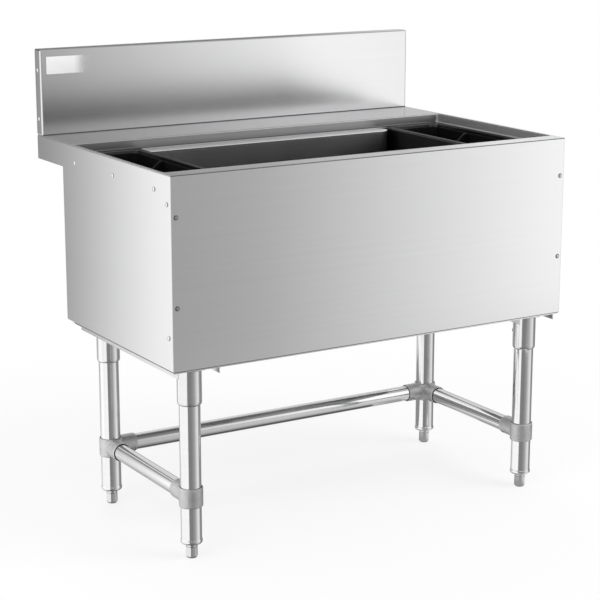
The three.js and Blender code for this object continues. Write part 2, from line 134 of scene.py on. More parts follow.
def objectPlace(tree):
    return node(tree, "TexCoord").outputs["Object"]


def clearTree(owner):
    # the emptied nodes of a world or a material
    owner.use_nodes = True
    owner.node_tree.nodes.clear()
    return owner.node_tree


def shownRays(tree):
    # 1 for what the camera, a reflection or glass sees, 0 for the light on the object
    rays = node(tree, "LightPath").outputs
    either = calc(tree, "MAXIMUM", rays["Is Camera Ray"], rays["Is Glossy Ray"])
    return calc(tree, "MAXIMUM", either, rays["Is Transmission Ray"])


studio = {
    "roomLight": 0.62,  # world strength on dull surfaces
    "floorHalf": 14,
    "floorShadow": 0.24,  # share of the floor that takes light and shadow
    "shadowFades": (0.55, 1.7),  # from this distance to that one
    "lampsAimAt": (0, 0, 0.5),
    "lamps": [
        ("lampRight", (2.4, -2.6, 3.0), 2.6, 75),
        ("lampLeft", (-2.8, -1.2, 2.6), 2.2, 32),
        ("lampBack", (0.6, 2.8, 2.8), 2.2, 26),
    ],
}


def buildWorld():
    world = bpy.data.worlds.new("paleRoom")
    scene.world = world
    tree = clearTree(world)
    strength = mapped(tree, shownRays(tree), end=(studio["roomLight"], 1.0))
    back = node(tree, "Background", {"Color": (1, 1, 1, 1), "Strength": strength})
    node(tree, "OutputWorld", {"Surface": back.outputs[0]})


def buildFloor():
    bm = bmesh.new()
    bmesh.ops.create_grid(bm, x_segments=8, y_segments=8, size=studio["floorHalf"])
    mesh = meshOf(bm, "studioFloor", 1)
    floor = newObject("studioFloor", mesh)
    material = bpy.data.materials.new("paleFloor")
    tree = clearTree(material)
    dull = node(tree, "BsdfDiffuse", {"Color": (1, 1, 1, 1)})
    white = node(tree, "Emission", {"Color": (1, 1, 1, 1), "Strength": 1.0})
    # the share that takes shadow is full near the object and fades out with distance
    away = vectorCalc(tree, "LENGTH", objectPlace(tree))
    shares = (1 - studio["floorShadow"], 1.0)
    plain = mapped(tree, away, studio["shadowFades"], shares, interpolation_type="SMOOTHSTEP")
    share = calc(tree, "MULTIPLY", shownRays(tree), plain)
    mix = node(tree, "MixShader", {0: share, 1: dull.outputs[0], 2: white.outputs[0]})
    node(tree, "OutputMaterial", {"Surface": mix.outputs[0]})
    mesh.materials.append(material)
    floor.visible_glossy = False  # steel mirrors the bowl's lower half instead


def buildLamps():
    target = Vector(studio["lampsAimAt"])
    for name, place, size, power in studio["lamps"]:
        light = bpy.data.lights.new(name, "AREA")
        light.shape = "SQUARE"
        light.size = size
        light.energy = power
        lamp = newObject(name, light)
        lamp.location = place
        lamp.rotation_euler = (target - Vector(place)).to_track_quat("-Z", "Y").to_euler()
        lamp.visible_glossy = False  # steel mirrors the cards instead


# Graded cards round the object: steel mirrors them, the camera and dull surfaces don't see them.
# An upright card stands on a line from (x, y) to (x, y), a level one lies over spans of x and y.
# stops: (place along the axis in metres, or the bearing in degrees, brightness)
footStops = [(0.32, 0.75), (0.37, 0.5), (0.4, 0.5), (0.415, 1.0), (0.48, 1.1)]
cards = {
    "cardFront": {
        "line": [(-1.3, -0.74), (1.9, -0.74)], "z": (0.2, 1.3), "axis": "X",
        "stops": [(-0.9, 0.54), (-0.25, 0.54), (-0.02, 0.64), (0.36, 1.05), (0.82, 1.53), (1.3, 1.4)],
    },
    "cardLeft": {
        "line": [(-0.77, 1.7), (-0.77, -0.02)], "z": (0.02, 1.2), "axis": "Y",
        "stops": [(0.0, 1.3), (0.27, 1.6), (0.45, 1.3), (0.64, 0.95), (0.84, 0.6), (1.0, 0.36), (1.3, 0.3)],
    },
    "cardBack": {
        "line": [(1.5, 0.42), (-1.5, 0.42)], "z": (0.95, 1.9), "axis": "X",
        "stops": [(-1.2, 0.2), (0.2, 0.24), (0.62, 0.95), (0.85, 1.9), (1.4, 1.9)],
    },
    "cardSide": {
        "line": [(-1.98, -1.64), (-2.9, 0.4)], "z": (-1.4, 1.5), "axis": "Y", "stops": [(-1.64, 1.4), (0.4, 1.4)],
    },
    "cardOver": {"x": (-1.4, 1.8), "y": (-1.3, 1.2), "height": 1.6, "stops": [(-1.4, 0.6), (1.8, 0.66)]},
    # the foot cards lie by the right-hand feet, whose facets mirror them: painted shade and painted highlight in those
    # reflections
    "cardFootFront": {"x": (0.32, 0.48), "y": (-0.34, -0.18), "height": 0.002, "stops": footStops},
    "cardFootRear": {"x": (0.32, 0.48), "y": (0.02, 0.17), "height": 0.002, "stops": footStops},
    # cardUnder: the shaded floor under the body as steel mirrors it: painted shadow
    "cardUnder": {"x": (-0.36, 0.36), "y": (0.18, 0.9), "height": 0.003, "stops": [(-0.36, 0.4), (0.36, 0.36)]},
}
bowl = {
    "radius": 9.0,
    "rows": 24,
    "reach": (-90, 38),  # lowest and highest elevation, in degrees
    # bearing from the front (-Y) towards the right, in degrees
    "stops": [
        (-180, 0.65), (-162, 0.8), (-146, 1.2), (-136, 1.4), (-88, 1.4), (-74, 0.34), (-20, 0.3), (13, 0.5),
        (38, 0.95), (60, 1.2), (72, 0.5), (92, 0.3), (122, 0.4), (150, 0.7), (180, 0.65),
    ],
    # share of that brightness at an elevation, lowest first
    "rise": [(-90, 0.28), (-57, 0.34), (-36, 0.8), (-20, 1.0), (4, 1.0), (14, 1.35), (38, 1.35)],
}


def graded(tree, stops, value):
    # brightness by the stops, as a share of the brightest
    low, high = stops[0][0], stops[-1][0]
    ramp = node(tree, "ValToRGB", {"Fac": mapped(tree, value, (low, high))})
    knots = ramp.color_ramp.elements
    while len(knots) < len(stops):
        knots.new(0.5)
    brightest = max(share for _, share in stops)
    for knot, (where, share) in zip(knots, stops):
        knot.position = (where - low) / (high - low)
        knot.color = (share / brightest,) * 3 + (1,)
    return ramp.outputs["Color"], brightest


def glowing(name, stops, coordinate, rise=None):
    # a glow that follows the stops along a coordinate of the card
    material = bpy.data.materials.new(name)
    tree = clearTree(material)
    place = objectPlace(tree)
    colour, brightest = graded(tree, stops, coordinate(tree, place))
    if rise:
        share, most = graded(tree, rise, elevation(tree, place))
        colour = vectorCalc(tree, "MULTIPLY", colour, share)
        brightest *= most
    glow = node(tree, "Emission", {"Color": colour, "Strength": brightest})
    node(tree, "OutputMaterial", {"Surface": glow.outputs[0]})
    return material


def axesOf(tree, vector):
    return node(tree, "SeparateXYZ", {0: vector}).outputs


def bearing(tree, place):
    # degrees from the front (-Y) towards the right
    axes = axesOf(tree, place)
    ahead = calc(tree, "MULTIPLY", axes["Y"], -1.0)
    return calc(tree, "DEGREES", calc(tree, "ARCTAN2", axes["X"], ahead))


def elevation(tree, place):
    rise = axesOf(tree, vectorCalc(tree, "NORMALIZE", place))["Z"]
    return calc(tree, "DEGREES", calc(tree, "ARCSINE", rise))


def setCard(mesh, material):
    piece = newObject(mesh.name, mesh)
    mesh.materials.append(material)
    piece.visible_camera = False
    piece.visible_diffuse = False
    piece.visible_shadow = False
    piece.visible_transmission = False


def buildCards():
    for name, card in cards.items():
        if "line" in card:
            (start, end), (low, high) = card["line"], card["z"]
            corners = [(*start, low), (*end, low), (*end, high), (*start, high)]
        else:
            (x0, x1), (y0, y1), z = card["x"], card["y"], card["height"]
            corners = [(x0, y0, z), (x1, y0, z), (x1, y1, z), (x0, y1, z)]
        mesh = bpy.data.meshes.new(name)
        mesh.from_pydata(corners, [], [(0, 1, 2, 3)])
        axis = card.get("axis", "X")
        setCard(mesh, glowing(name, card["stops"], lambda tree, place: axesOf(tree, place)[axis]))
    bm = bmesh.new()
    low, high = (math.radians(value) for value in bowl["reach"])
    away, rows = bowl["radius"], bowl["rows"]
    angles = [low + (high - low) * k / rows for k in range(rows + 1)]
    addTurned(bm, [(away * math.cos(a), away * math.sin(a)) for a in angles], sides=96)
    setCard(meshOf(bm, "cardBowl", 1), glowing("cardBowl", bowl["stops"], bearing, bowl["rise"]))


# effects that several finishes share

def newGroup(name, inputs, outputs):
    # inputs: each one's name and value; a tuple makes a vector
    group = bpy.data.node_groups.new(name, "ShaderNodeTree")
    for title, value in inputs.items():
        kind = "NodeSocketVector" if isinstance(value, tuple) else "NodeSocketFloat"
        socket = group.interface.new_socket(title, in_out="INPUT", socket_type=kind)
        socket.default_value = value
    for title in outputs:
        group.interface.new_socket(title, in_out="OUTPUT", socket_type="NodeSocketFloat")
    return group, group.nodes.new("NodeGroupInput").outputs, group.nodes.new("NodeGroupOutput").inputs


def makeGrainGroup():
    # fine brushing: lines a few tenths of a millimetre wide, and broader faint streaks
    group, given, result = newGroup(
        "brushedGrain", {"Stretch": (5, 700, 700), "Contrast": 1.0}, ["Height", "Streaks"],
    )
    spread = vectorCalc(group, "MULTIPLY", objectPlace(group), given["Stretch"])
    fine = node(group, "TexNoise", {"Vector": spread, "Scale": 1.0, "Detail": 3.0, "Roughness": 0.65})
    broad = node(group, "TexNoise", {"Vector": spread, "Scale": 0.16, "Detail": 2.0, "Roughness": 0.5})
    centred = calc(group, "ADD", broad.outputs["Fac"], -0.5)
    scaled = calc(group, "MULTIPLY", centred, given["Contrast"])
    wire(group, fine.outputs["Fac"], result["Height"])
    wire(group, calc(group, "ADD", scaled, 0.5, use_clamp=True), result["Streaks"])
    return group


def makeMarksGroup():
    # soft patches left by hands and cloths
    group, given, result = newGroup("wipeMarks", {"Size": 9.0, "Cover": 0.5}, ["Mask"])
    cloud = node(group, "TexNoise", {
        "Vector": objectPlace(group), "Scale": given["Size"], "Detail": 4.0, "Roughness": 0.6, "Distortion": 0.6,
    })
    low = calc(group, "SUBTRACT", 1.0, given["Cover"])
    high = calc(group, "ADD", low, 0.25)
    mask = mapped(group, cloud.outputs["Fac"], (low, high), interpolation_type="SMOOTHSTEP")
    wire(group, mask, result["Mask"])
    return group


def makeSkinGroup():
    # the pebbled skin of a casting or of moulded plastic
    group, given, result = newGroup("castSkin", {"Size": 900.0, "Pits": 0.3}, ["Height", "Tone"])
    place = objectPlace(group)
    grain = node(group, "TexNoise", {
        "Vector": place, "Scale": given["Size"], "Detail": 3.0, "Roughness": 0.6,
    })
    cells = node(group, "TexVoronoi", {"Vector": place, "Scale": given["Size"]})
    dips = calc(group, "MULTIPLY", cells.outputs["Distance"], given["Pits"])
    tone = node(group, "TexNoise", {"Vector": place, "Scale": 60.0, "Detail": 3.0})
    wire(group, calc(group, "SUBTRACT", grain.outputs["Fac"], dips), result["Height"])
    wire(group, tone.outputs["Fac"], result["Tone"])
    return group


def makeFadeGroup():
    # a share that climbs from Least to 1, between Start and End along one direction of the piece
    group, given, result = newGroup(
        "fadeAlong", {"Along": (0, 0, 1), "Start": 0.0, "End": 0.1, "Least": 0.5}, ["Share"],
    )
    far = vectorCalc(group, "DOT_PRODUCT", objectPlace(group), given["Along"])
    share = mapped(group, far, (given["Start"], given["End"]), (given["Least"], 1.0))
    wire(group, share, result["Share"])
    return group


grainGroup = makeGrainGroup()
marksGroup = makeMarksGroup()
skinGroup = makeSkinGroup()
fadeGroup = makeFadeGroup()


def placed(tree, group, **inputs):
    # the outputs of a shared effect
    return node(tree, "Group", inputs, node_tree=group).outputs


def newFinish(name):
    material = bpy.data.materials.new(name)
    tree = clearTree(material)
    shader = node(tree, "BsdfPrincipled")
    node(tree, "OutputMaterial", {"Surface": shader.outputs[0]})
    return material, tree, shader


def surfaced(tree, shader, tone, colours, wear, rough, height, relief):
    # tone picks between two colours, wear between two roughnesses; relief is strength and distance
    dark, light = colours
    mix = node(tree, "Mix", {"Factor": tone, "A": (*dark, 1), "B": (*light, 1)}, data_type="RGBA")
    bump = node(tree, "Bump", {"Height": height, "Strength": relief[0], "Distance": relief[1]})
    wire(tree, mix.outputs["Result"], shader.inputs["Base Color"])
    wire(tree, mapped(tree, wear, end=rough), shader.inputs["Roughness"])
    wire(tree, bump.outputs[0], shader.inputs["Normal"])


def even(tone):
    # the darker and lighter streaks of one steel, a little bluish
    return [(tone * share,) * 2 + (tone * (share + 0.01),) for share in (0.975, 1.025)]


plainSteel = [(0.585, 0.585, 0.59), (0.612, 0.612, 0.617)]


def brushedSteel(name, rough=(0.24, 0.27), colours=plainSteel, grain=sheetGrain):
    material, tree, shader = newFinish(name)
    shader.inputs["Metallic"].default_value = 1.0
    shader.inputs["Anisotropic"].default_value = 0.6
    brushing = placed(tree, grainGroup, Stretch=grain["stretch"], Contrast=0.9)
    wiped = placed(tree, marksGroup, Size=3.0, Cover=0.62)
    uneven = node(tree, "Mix", {"Factor": 0.35, "A": brushing["Streaks"], "B": wiped["Mask"]})
    surfaced(
        tree, shader, brushing["Streaks"], colours, uneven.outputs["Result"], rough,
        brushing["Height"], (0.08, 0.0001),
    )
    # light spreads across the brushing; the small offset keeps the cross product off zero
    facing = node(tree, "NewGeometry").outputs["Normal"]
    lean = vectorCalc(tree, "CROSS_PRODUCT", facing, [value + 0.013 for value in grain["along"]])
    wire(tree, vectorCalc(tree, "NORMALIZE", lean), shader.inputs["Tangent"])
    return material


def polishedTube(name, stretch, rough=(0.09, 0.16), tone=0.655):
    material, tree, shader = newFinish(name)
    shader.inputs["Metallic"].default_value = 1.0
    rings = placed(tree, grainGroup, Stretch=stretch, Contrast=0.7)
    wiped = placed(tree, marksGroup, Size=14.0, Cover=0.45)
    colours = [(tone * share, tone * share, tone * share + 0.005) for share in (0.95, 1.05)]
    surfaced(tree, shader, rings["Streaks"], colours, wiped["Mask"], rough, rings["Height"], (0.06, 0.0001))
    return material


def skinned(name, size, pits, colours, rough, relief, metallic=0.0):
    material, tree, shader = newFinish(name)
    shader.inputs["Metallic"].default_value = metallic
    skin = placed(tree, skinGroup, Size=size, Pits=pits)
    surfaced(tree, shader, skin["Tone"], colours, skin["Tone"], rough, skin["Height"], relief)
    return material


def castAluminium():
    colours = [(0.42, 0.42, 0.425), (0.66, 0.66, 0.665)]
    return skinned("castAluminium", 420.0, 0.5, colours, (0.42, 0.6), (0.8, 0.0007), metallic=1.0)


def blackPlastic():
    material, tree, shader = newFinish("blackWellPlastic")
    skin = placed(tree, skinGroup, Size=1400.0, Pits=0.2)
    wiped = placed(tree, marksGroup, Size=18.0, Cover=0.4)
    shader.inputs["Specular IOR Level"].default_value = 0.14
    colours = [(0.0035, 0.0035, 0.004), (0.006, 0.006, 0.0065)]
    surfaced(tree, shader, skin["Tone"], colours, wiped["Mask"], (0.42, 0.56), skin["Height"], (0.15, 0.0002))
    return material


def foamPlastic():
    colours = [(0.74, 0.66, 0.44), (0.83, 0.77, 0.57)]
    return skinned("jacketFoam", 350.0, 0.9, colours, (0.8, 0.95), (0.6, 0.001))


label = {
    "x": (-443.7, -346.7), "y": (277.9, 278.4), "z": (888.5, 924.5), "corner": 2.5,
    "clearX": (-384, -352), "leastSolid": 0.06,
}


def labelFilm():
    # white film that turns clear towards its right end
    material, tree, shader = newFinish("blankLabelFilm")
    brushing = placed(tree, grainGroup, Stretch=(5, 400, 400), Contrast=0.8)
    streaks, colours = brushing["Streaks"], [(0.93, 0.93, 0.935), (0.97, 0.97, 0.97)]
    surfaced(tree, shader, streaks, colours, streaks, (0.36, 0.46), brushing["Height"], (0.05, 0.0001))
    clear = [x * mm for x in label["clearX"]]
    along = axesOf(tree, objectPlace(tree))["X"]
    solid = mapped(tree, along, clear, (1.0, label["leastSolid"]), interpolation_type="SMOOTHSTEP")
    wire(tree, solid, shader.inputs["Alpha"])
    return material


def seamShadowFinish():
    colours = [(0.05, 0.05, 0.052), (0.09, 0.09, 0.092)]
    return skinned("seamPaintedShadow", 300.0, 0.4, colours, (0.5, 0.7), (0.3, 0.0003))


def paintedShadeAlong(material, along, span, least, rimTint=1.0):
    # painted shade: the steel's colour darkens against the given direction, from full at the end of the span down to
    # least at its start; rimTint lowers its reflection at grazing angles
    tree = material.node_tree
    link = next(link for link in tree.links if link.to_socket.name == "Base Color")
    source, target = link.from_socket, link.to_socket
    target.node.inputs["Specular Tint"].default_value = (rimTint,) * 3 + (1,)
    share = placed(tree, fadeGroup, Along=along, Start=span[0], End=span[1], Least=least)["Share"]
    wire(tree, vectorCalc(tree, "MULTIPLY", source, share), target)
    return material


finishes = {
    # bead: the dark seam strips, painted shade
    "bead": seamShadowFinish(),
    "sheet": brushedSteel("innerSheetSteel"),
    "pan": brushedSteel("panSteel", (0.21, 0.24), even(0.48)),
    # sump: a darker copy of the pan steel for the sunk floor, darker still towards its front: painted shade
    "sump": paintedShadeAlong(
        brushedSteel("sunkFloorShadedSteel", (0.26, 0.3), even(0.24)), (0, 1, 0), (0.0, 0.13), 0.2, rimTint=0.5,
    ),
    "recess": brushedSteel("recessSideSteel", (0.33, 0.37), even(0.6)),
    # recessBack: the back wall of the recess, darker towards its bottom: painted shade
    "recessBack": paintedShadeAlong(
        brushedSteel("recessBackShadedSteel", (0.33, 0.37), even(0.52)), (0, 0, 1), (0.743, 0.762), 0.35,
    ),
    "side": brushedSteel("sidePanelSteel", grain=sideGrain),
    "tub": brushedSteel("tubSteel", (0.2, 0.24), even(0.37)),
    # tubEnd: a much darker copy of the tub steel for the tub's end walls: painted shade
    "tubEnd": brushedSteel("tubEndShadedSteel", (0.22, 0.26), even(0.11)),
    "chase": brushedSteel("chaseSteel", (0.2, 0.24), even(0.6)),
    # chaseTop: a near-white copy of the chase steel for its top: painted highlight
    "chaseTop": brushedSteel("chaseTopLitSteel", (0.32, 0.36), even(0.95)),
    "tube": polishedTube("legTubeSteel", (40, 40, 900)),
    "screw": polishedTube("screwSteel", (500, 500, 500), rough=(0.16, 0.28)),
    "drain": polishedTube("drainSteel", (60, 60, 1200), rough=(0.18, 0.3)),
    "cast": castAluminium(),
    "plastic": blackPlastic(),
    "foam": foamPlastic(),
    "front": brushedSteel("frontPanelSteel"),
    "splash": brushedSteel("backsplashSteel", (0.18, 0.21)),
    "label": labelFilm(),
    "socket": polishedTube("socketSteel", (60, 60, 600), rough=(0.13, 0.2), tone=0.63),
    "foot": polishedTube("footSteel", (300, 300, 300), rough=(0.12, 0.2), tone=0.57),
    # frontScrew: a dark copy of the screw steel for the front screws' chamfer and sides: a painted ring of shade round
    # each head
    "frontScrew": polishedTube("frontScrewShadedSteel", (500, 500, 500), rough=(0.16, 0.26), tone=0.18),
    "braceX": polishedTube("braceSteelAcross", (900, 40, 40)),
    "braceY": polishedTube("braceSteelAlong", (40, 900, 40)),
}


def finish(piece, material):
    piece.data.materials.clear()
    piece.data.materials.append(finishes[material])


# every CAD node gets its finish first; the detailed pieces below then stand in for many
nodeFinish = {
    "stainless_sheet": "sheet",
    "tube_steel": "tube",
    "screw_steel": "screw",
    "drain_steel": "drain",
    "cast_aluminium": "cast",
    "black_plastic": "plastic",
    "foam": "foam",
    "label_film": "sheet",
}
for part in frame["record"]["subparts"]:
    word = "side" if "side_panel" in part["node"] else nodeFinish[part["material_slot"]]
    finish(nodes[part["node"]], word)
print("finishes: made and laid on", len(nodes), "nodes")


# ways of making a piece; all sizes here are millimetres

def meshOf(bm, name, size=mm):
    # ends a drawing and makes it a mesh, in metres
    bmesh.ops.scale(bm, vec=(size,) * 3, verts=bm.verts)
    mesh = bpy.data.meshes.new(name)
    bm.to_mesh(mesh)
    bm.free()
    return mesh


def newPiece(bm, name, material, body="cabinet", stands=(), sharp=sheetSharp):
    mesh = meshOf(bm, name)
    mesh.shade_smooth()
    mesh.set_sharp_from_angle(angle=math.radians(sharp))
    mesh.materials.append(finishes[material])
    piece = newObject(name, mesh)
    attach(piece, body)
    if stands:
        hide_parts(*stands)
    return piece


def applied(piece, *modifiers):
    # adds each (kind, settings), and bakes them into the piece's mesh
    for kind, settings in modifiers:
        modifier = piece.modifiers.new(kind.lower(), kind)
        for key, value in settings.items():
            setattr(modifier, key, value)
    bpy.context.view_layer.update()
    ready = piece.evaluated_get(bpy.context.evaluated_depsgraph_get())
    mesh = bpy.data.meshes.new_from_object(ready)
    old, piece.data = piece.data, mesh
    piece.modifiers.clear()
    mesh.name = piece.name
    bpy.data.meshes.remove(old)
    return piece


def evenShading(piece):
    # big flat faces set the shading, so that they stay flat beside their folds
    return applied(piece, ("WEIGHTED_NORMAL", {"keep_sharp": True, "weight": 100}))


def sheetPiece(bm, title, material):
    # an open surface becomes a steel sheet
    piece = newPiece(bm, title + "_sheet", material, stands=(title,))
    return applied(piece, ("SOLIDIFY", {"thickness": sheet * mm, "offset": -1, "use_even_offset": True}))


def withBlocks(piece, blocks):
    # adds the drawn blocks to a finished sheet
    whole, part = bmesh.new(), meshOf(blocks, "blocks")
    whole.from_mesh(piece.data)
    whole.from_mesh(part)
    whole.to_mesh(piece.data)
    whole.free()
    bpy.data.meshes.remove(part)
    piece.data.set_sharp_from_angle(angle=math.radians(sheetSharp))
    return evenShading(piece)


def repainted(mesh, material, chosen):
    # a second finish for the faces that chosen picks by their centre in millimetres and their normal
    mesh.materials.append(finishes[material])
    index = len(mesh.materials) - 1
    for face in mesh.polygons:
        if chosen(face.center / mm, face.normal):
            face.material_index = index


def outwards(bm):
    bmesh.ops.recalc_face_normals(bm, faces=bm.faces[:])


def drilled(piece, cutters, **how):
    # takes the drawn shapes out of a piece
    outwards(cutters)
    tool = newObject("cutters", meshOf(cutters, "cutters"))
    applied(piece, ("BOOLEAN", {"operation": "DIFFERENCE", "solver": "EXACT", "object": tool, **how}))
    bpy.data.objects.remove(tool)


def roundedLine(corners, closed=False, steps=5):
    # corners are (a, b) or (a, b, radius); the radius becomes an arc
    points = []
    count = len(corners)
    for i, corner in enumerate(corners):
        here = Vector(corner[:2])
        radius = corner[2] if len(corner) > 2 else 0
        if radius <= 0 or (not closed and i in (0, count - 1)):
            points.append(here)
            continue
        before = (Vector(corners[i - 1][:2]) - here).normalized()
        after = (Vector(corners[(i + 1) % count][:2]) - here).normalized()
        wide = before.angle(after)
        centre = here + (before + after).normalized() * (radius / math.sin(wide / 2))
        start = here + before * (radius / math.tan(wide / 2)) - centre
        turn = math.pi - wide
        if before.x * after.y - before.y * after.x > 0:
            turn = -turn
        for step in range(steps + 1):
            points.append(centre + Matrix.Rotation(turn * step / steps, 2) @ start)
    return points


def atHeight(line, z):
    return [Vector((point.x, point.y, z)) for point in line]


def grown(span, by):
    return (span[0] - by, span[1] + by)


def plan(x, y, radius, z, out=0.0):
    # one ring: a box with round corners, grown by out; always with the same number of points
    (x0, x1), (y0, y1) = grown(x, out), grown(y, out)
    radius = max(radius + out, 0.02)
    corners = [(x0, y0, radius), (x1, y0, radius), (x1, y1, radius), (x0, y1, radius)]
    return atHeight(roundedLine(corners, True, 6), z)


def circle(count, away, z, centre=(0, 0), turned=0.0):
    # points round a centre; away is a radius, or gives one for each angle
    points = []
    for k in range(count):
        angle = 2 * math.pi * k / count
        far = away(angle) if callable(away) else away
        angle += turned
        points.append(Vector((centre[0] + far * math.cos(angle), centre[1] + far * math.sin(angle), z)))
    return points


def hexReach(angle, corner):
    # how far a hexagon reaches at an angle, from its reach at the corners
    return corner * math.cos(math.pi / 6) / math.cos(angle % (math.pi / 3) - math.pi / 6)


def bridged(bm, low, high, closed=True):
    # faces between two rings that have the same number of points
    count = len(low)
    for k in range(count if closed else count - 1):
        n = (k + 1) % count
        bm.faces.new((low[k], low[n], high[n], high[k]))


def ringed(bm, rings, closed=True):
    made = [[bm.verts.new(point) for point in ring] for ring in rings]
    for low, high in zip(made, made[1:]):
        bridged(bm, low, high, closed)
    return made


def bend(steps=5):
    # a quarter circle as pairs of shares: one grows from 0 to 1 while the other shrinks from 1 to 0
    angles = [math.radians(90 * step / steps) for step in range(steps + 1)]
    return [(1 - math.cos(angle), 1 - math.sin(angle)) for angle in angles]


def fillBetween(bm, *loops):
    # a flat face with holes
    edges = []
    for loop in loops:
        for pair in zip(loop, loop[1:] + loop[:1]):
            edges.append(bm.edges.get(pair) or bm.edges.new(pair))
    bmesh.ops.triangle_fill(bm, use_beauty=True, use_dissolve=False, edges=edges)


def facingUp(bm, way=Vector((0, 0, 1))):
    # turns an open sheet so that its largest face looks the given way
    outwards(bm)
    largest = max(bm.faces, key=lambda face: face.calc_area())
    if largest.normal.dot(way) < 0:
        bmesh.ops.reverse_faces(bm, faces=bm.faces[:])


def bevelled(bm, edges, offset, segments, **how):
    bmesh.ops.bevel(bm, geom=edges, offset=offset, segments=segments, profile=0.5, affect="EDGES", **how)


def addBlock(bm, x, y, z, soft=0.0):
    made = bmesh.ops.create_cube(bm, size=1)["verts"]
    for vert in made:
        vert.co = Vector((x[vert.co.x > 0], y[vert.co.y > 0], z[vert.co.z > 0]))
    if soft:
        bevelled(bm, list({edge for vert in made for edge in vert.link_edges}), soft, 2)


def addTurned(bm, profile, centre=(0, 0, 0), axis="z", sides=56, closed=False):
    # profile of (radius, height); radius 0 closes an end, closed=True joins last to first
    turnTo = {
        "z": Matrix.Identity(3),
        "x": Matrix.Rotation(math.pi / 2, 3, "Y"),
        "y": Matrix.Rotation(-math.pi / 2, 3, "X"),
    }[axis]
    rings = []
    for radius, height in profile:
        points = circle(sides, radius, height) if radius > 1e-6 else [Vector((0, 0, height))]
        rings.append([bm.verts.new(turnTo @ point + Vector(centre)) for point in points])
    for low, high in zip(rings, rings[1:] + (rings[:1] if closed else [])):
        for k in range(sides):
            n = (k + 1) % sides
            corners = [low[k % len(low)], low[n % len(low)], high[n % len(high)], high[k % len(high)]]
            corners = list(dict.fromkeys(corners))
            if len(corners) > 2:
                bm.faces.new(corners)
    return [vert for ring in rings for vert in ring]


def addThread(bm, radius, depth, pitch, low, high, sides=28):
    # a ridge that climbs round a rod from low to high
    turns = int((high - low) / pitch)
    section = [(0, 0), (-0.42 * pitch, depth), (-0.58 * pitch, depth), (-pitch, 0)]
    rows = []
    for step in range(turns * sides + 1):
        angle = 2 * math.pi * step / sides
        z = low + pitch + (high - low - pitch) * step / (turns * sides)
        fade = min(1, step / sides, (turns * sides - step) / sides)
        reach = [(radius + out * fade, z + up) for up, out in section]
        rows.append([(far * math.cos(angle), far * math.sin(angle), height) for far, height in reach])
    ringed(bm, rows, closed=False)


def boxOf(name):
    low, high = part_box(name)
    return [(low[i] / mm, high[i] / mm) for i in range(3)]


def softened(name, material, width=0.45, topCut=0.0, outer=None, roll=1.4):
    # a copy of a CAD sheet with its edges broken, as after deburring
    # outer picks its outer face, whose lower and right edges are rolled
    cad = nodes[name]
    bm = bmesh.new()
    bm.from_mesh(cad.data)
    bmesh.ops.scale(bm, vec=(1 / mm,) * 3, verts=bm.verts)
    top = max(vert.co.z for vert in bm.verts)
    for vert in bm.verts:
        if vert.co.z > top - 0.5:
            vert.co.z -= topCut
    bmesh.ops.remove_doubles(bm, verts=bm.verts, dist=0.01)
    bmesh.ops.dissolve_limit(bm, angle_limit=math.radians(1), verts=bm.verts, edges=bm.edges)
    if outer:
        low = min(vert.co.z for vert in bm.verts) + 0.01
        right = max(vert.co.x for vert in bm.verts) - 0.01
        rolled = []
        for edge in bm.edges:
            ends = [vert.co for vert in edge.verts]
            atBorder = all(end.z < low for end in ends) or all(end.x > right for end in ends)
            if atBorder and all(outer(end) for end in ends) and edge.calc_face_angle(0) > cornerTurn:
                rolled.append(edge)
        bevelled(bm, rolled, roll, 4)
    edges = [edge for edge in bm.edges if edge.is_manifold and edge.calc_face_angle(0) > cornerTurn]
    bevelled(bm, edges, width, 2, clamp_overlap=True)
    return evenShading(newPiece(bm, name + "_sheet", material, cad["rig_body"], (name,)))


# top pan: one deep-drawn sheet with a sunken floor

half, front, back = 457.2, -303.9, 305.7
across = (-half, half)
rim, sunkFloor = 762, 742
pan = {
    "recessX": (-450.2, 450.2),
    "recessY": (-265.8, 140.6),
    "corner": 5,
    "edge": 0.9,  # round outer edge
    "outerCorner": 0.8,
    "fold": 1.8,  # the recess's top edge leans out this far
    "foldHigh": 3,
    "cove": 3,
    "wellX": (316.2, 432.7),
    "wellY": (-250.8, 125.6),
    "wellCorner": 18,
    "lip": 9,
    "tubX": (-303.5, 303.5),
    "tubY": (-251.5, 135.6),
    "tubCorner": 10,
    "wellFold": 0.7,
    "rearFoldFrom": -300,  # from here to the tub's right end, the fold keeps the pan's own steel
    "hang": {"side": 47, "front": 27, "back": 50.8},  # of the flanges, below the rim
}


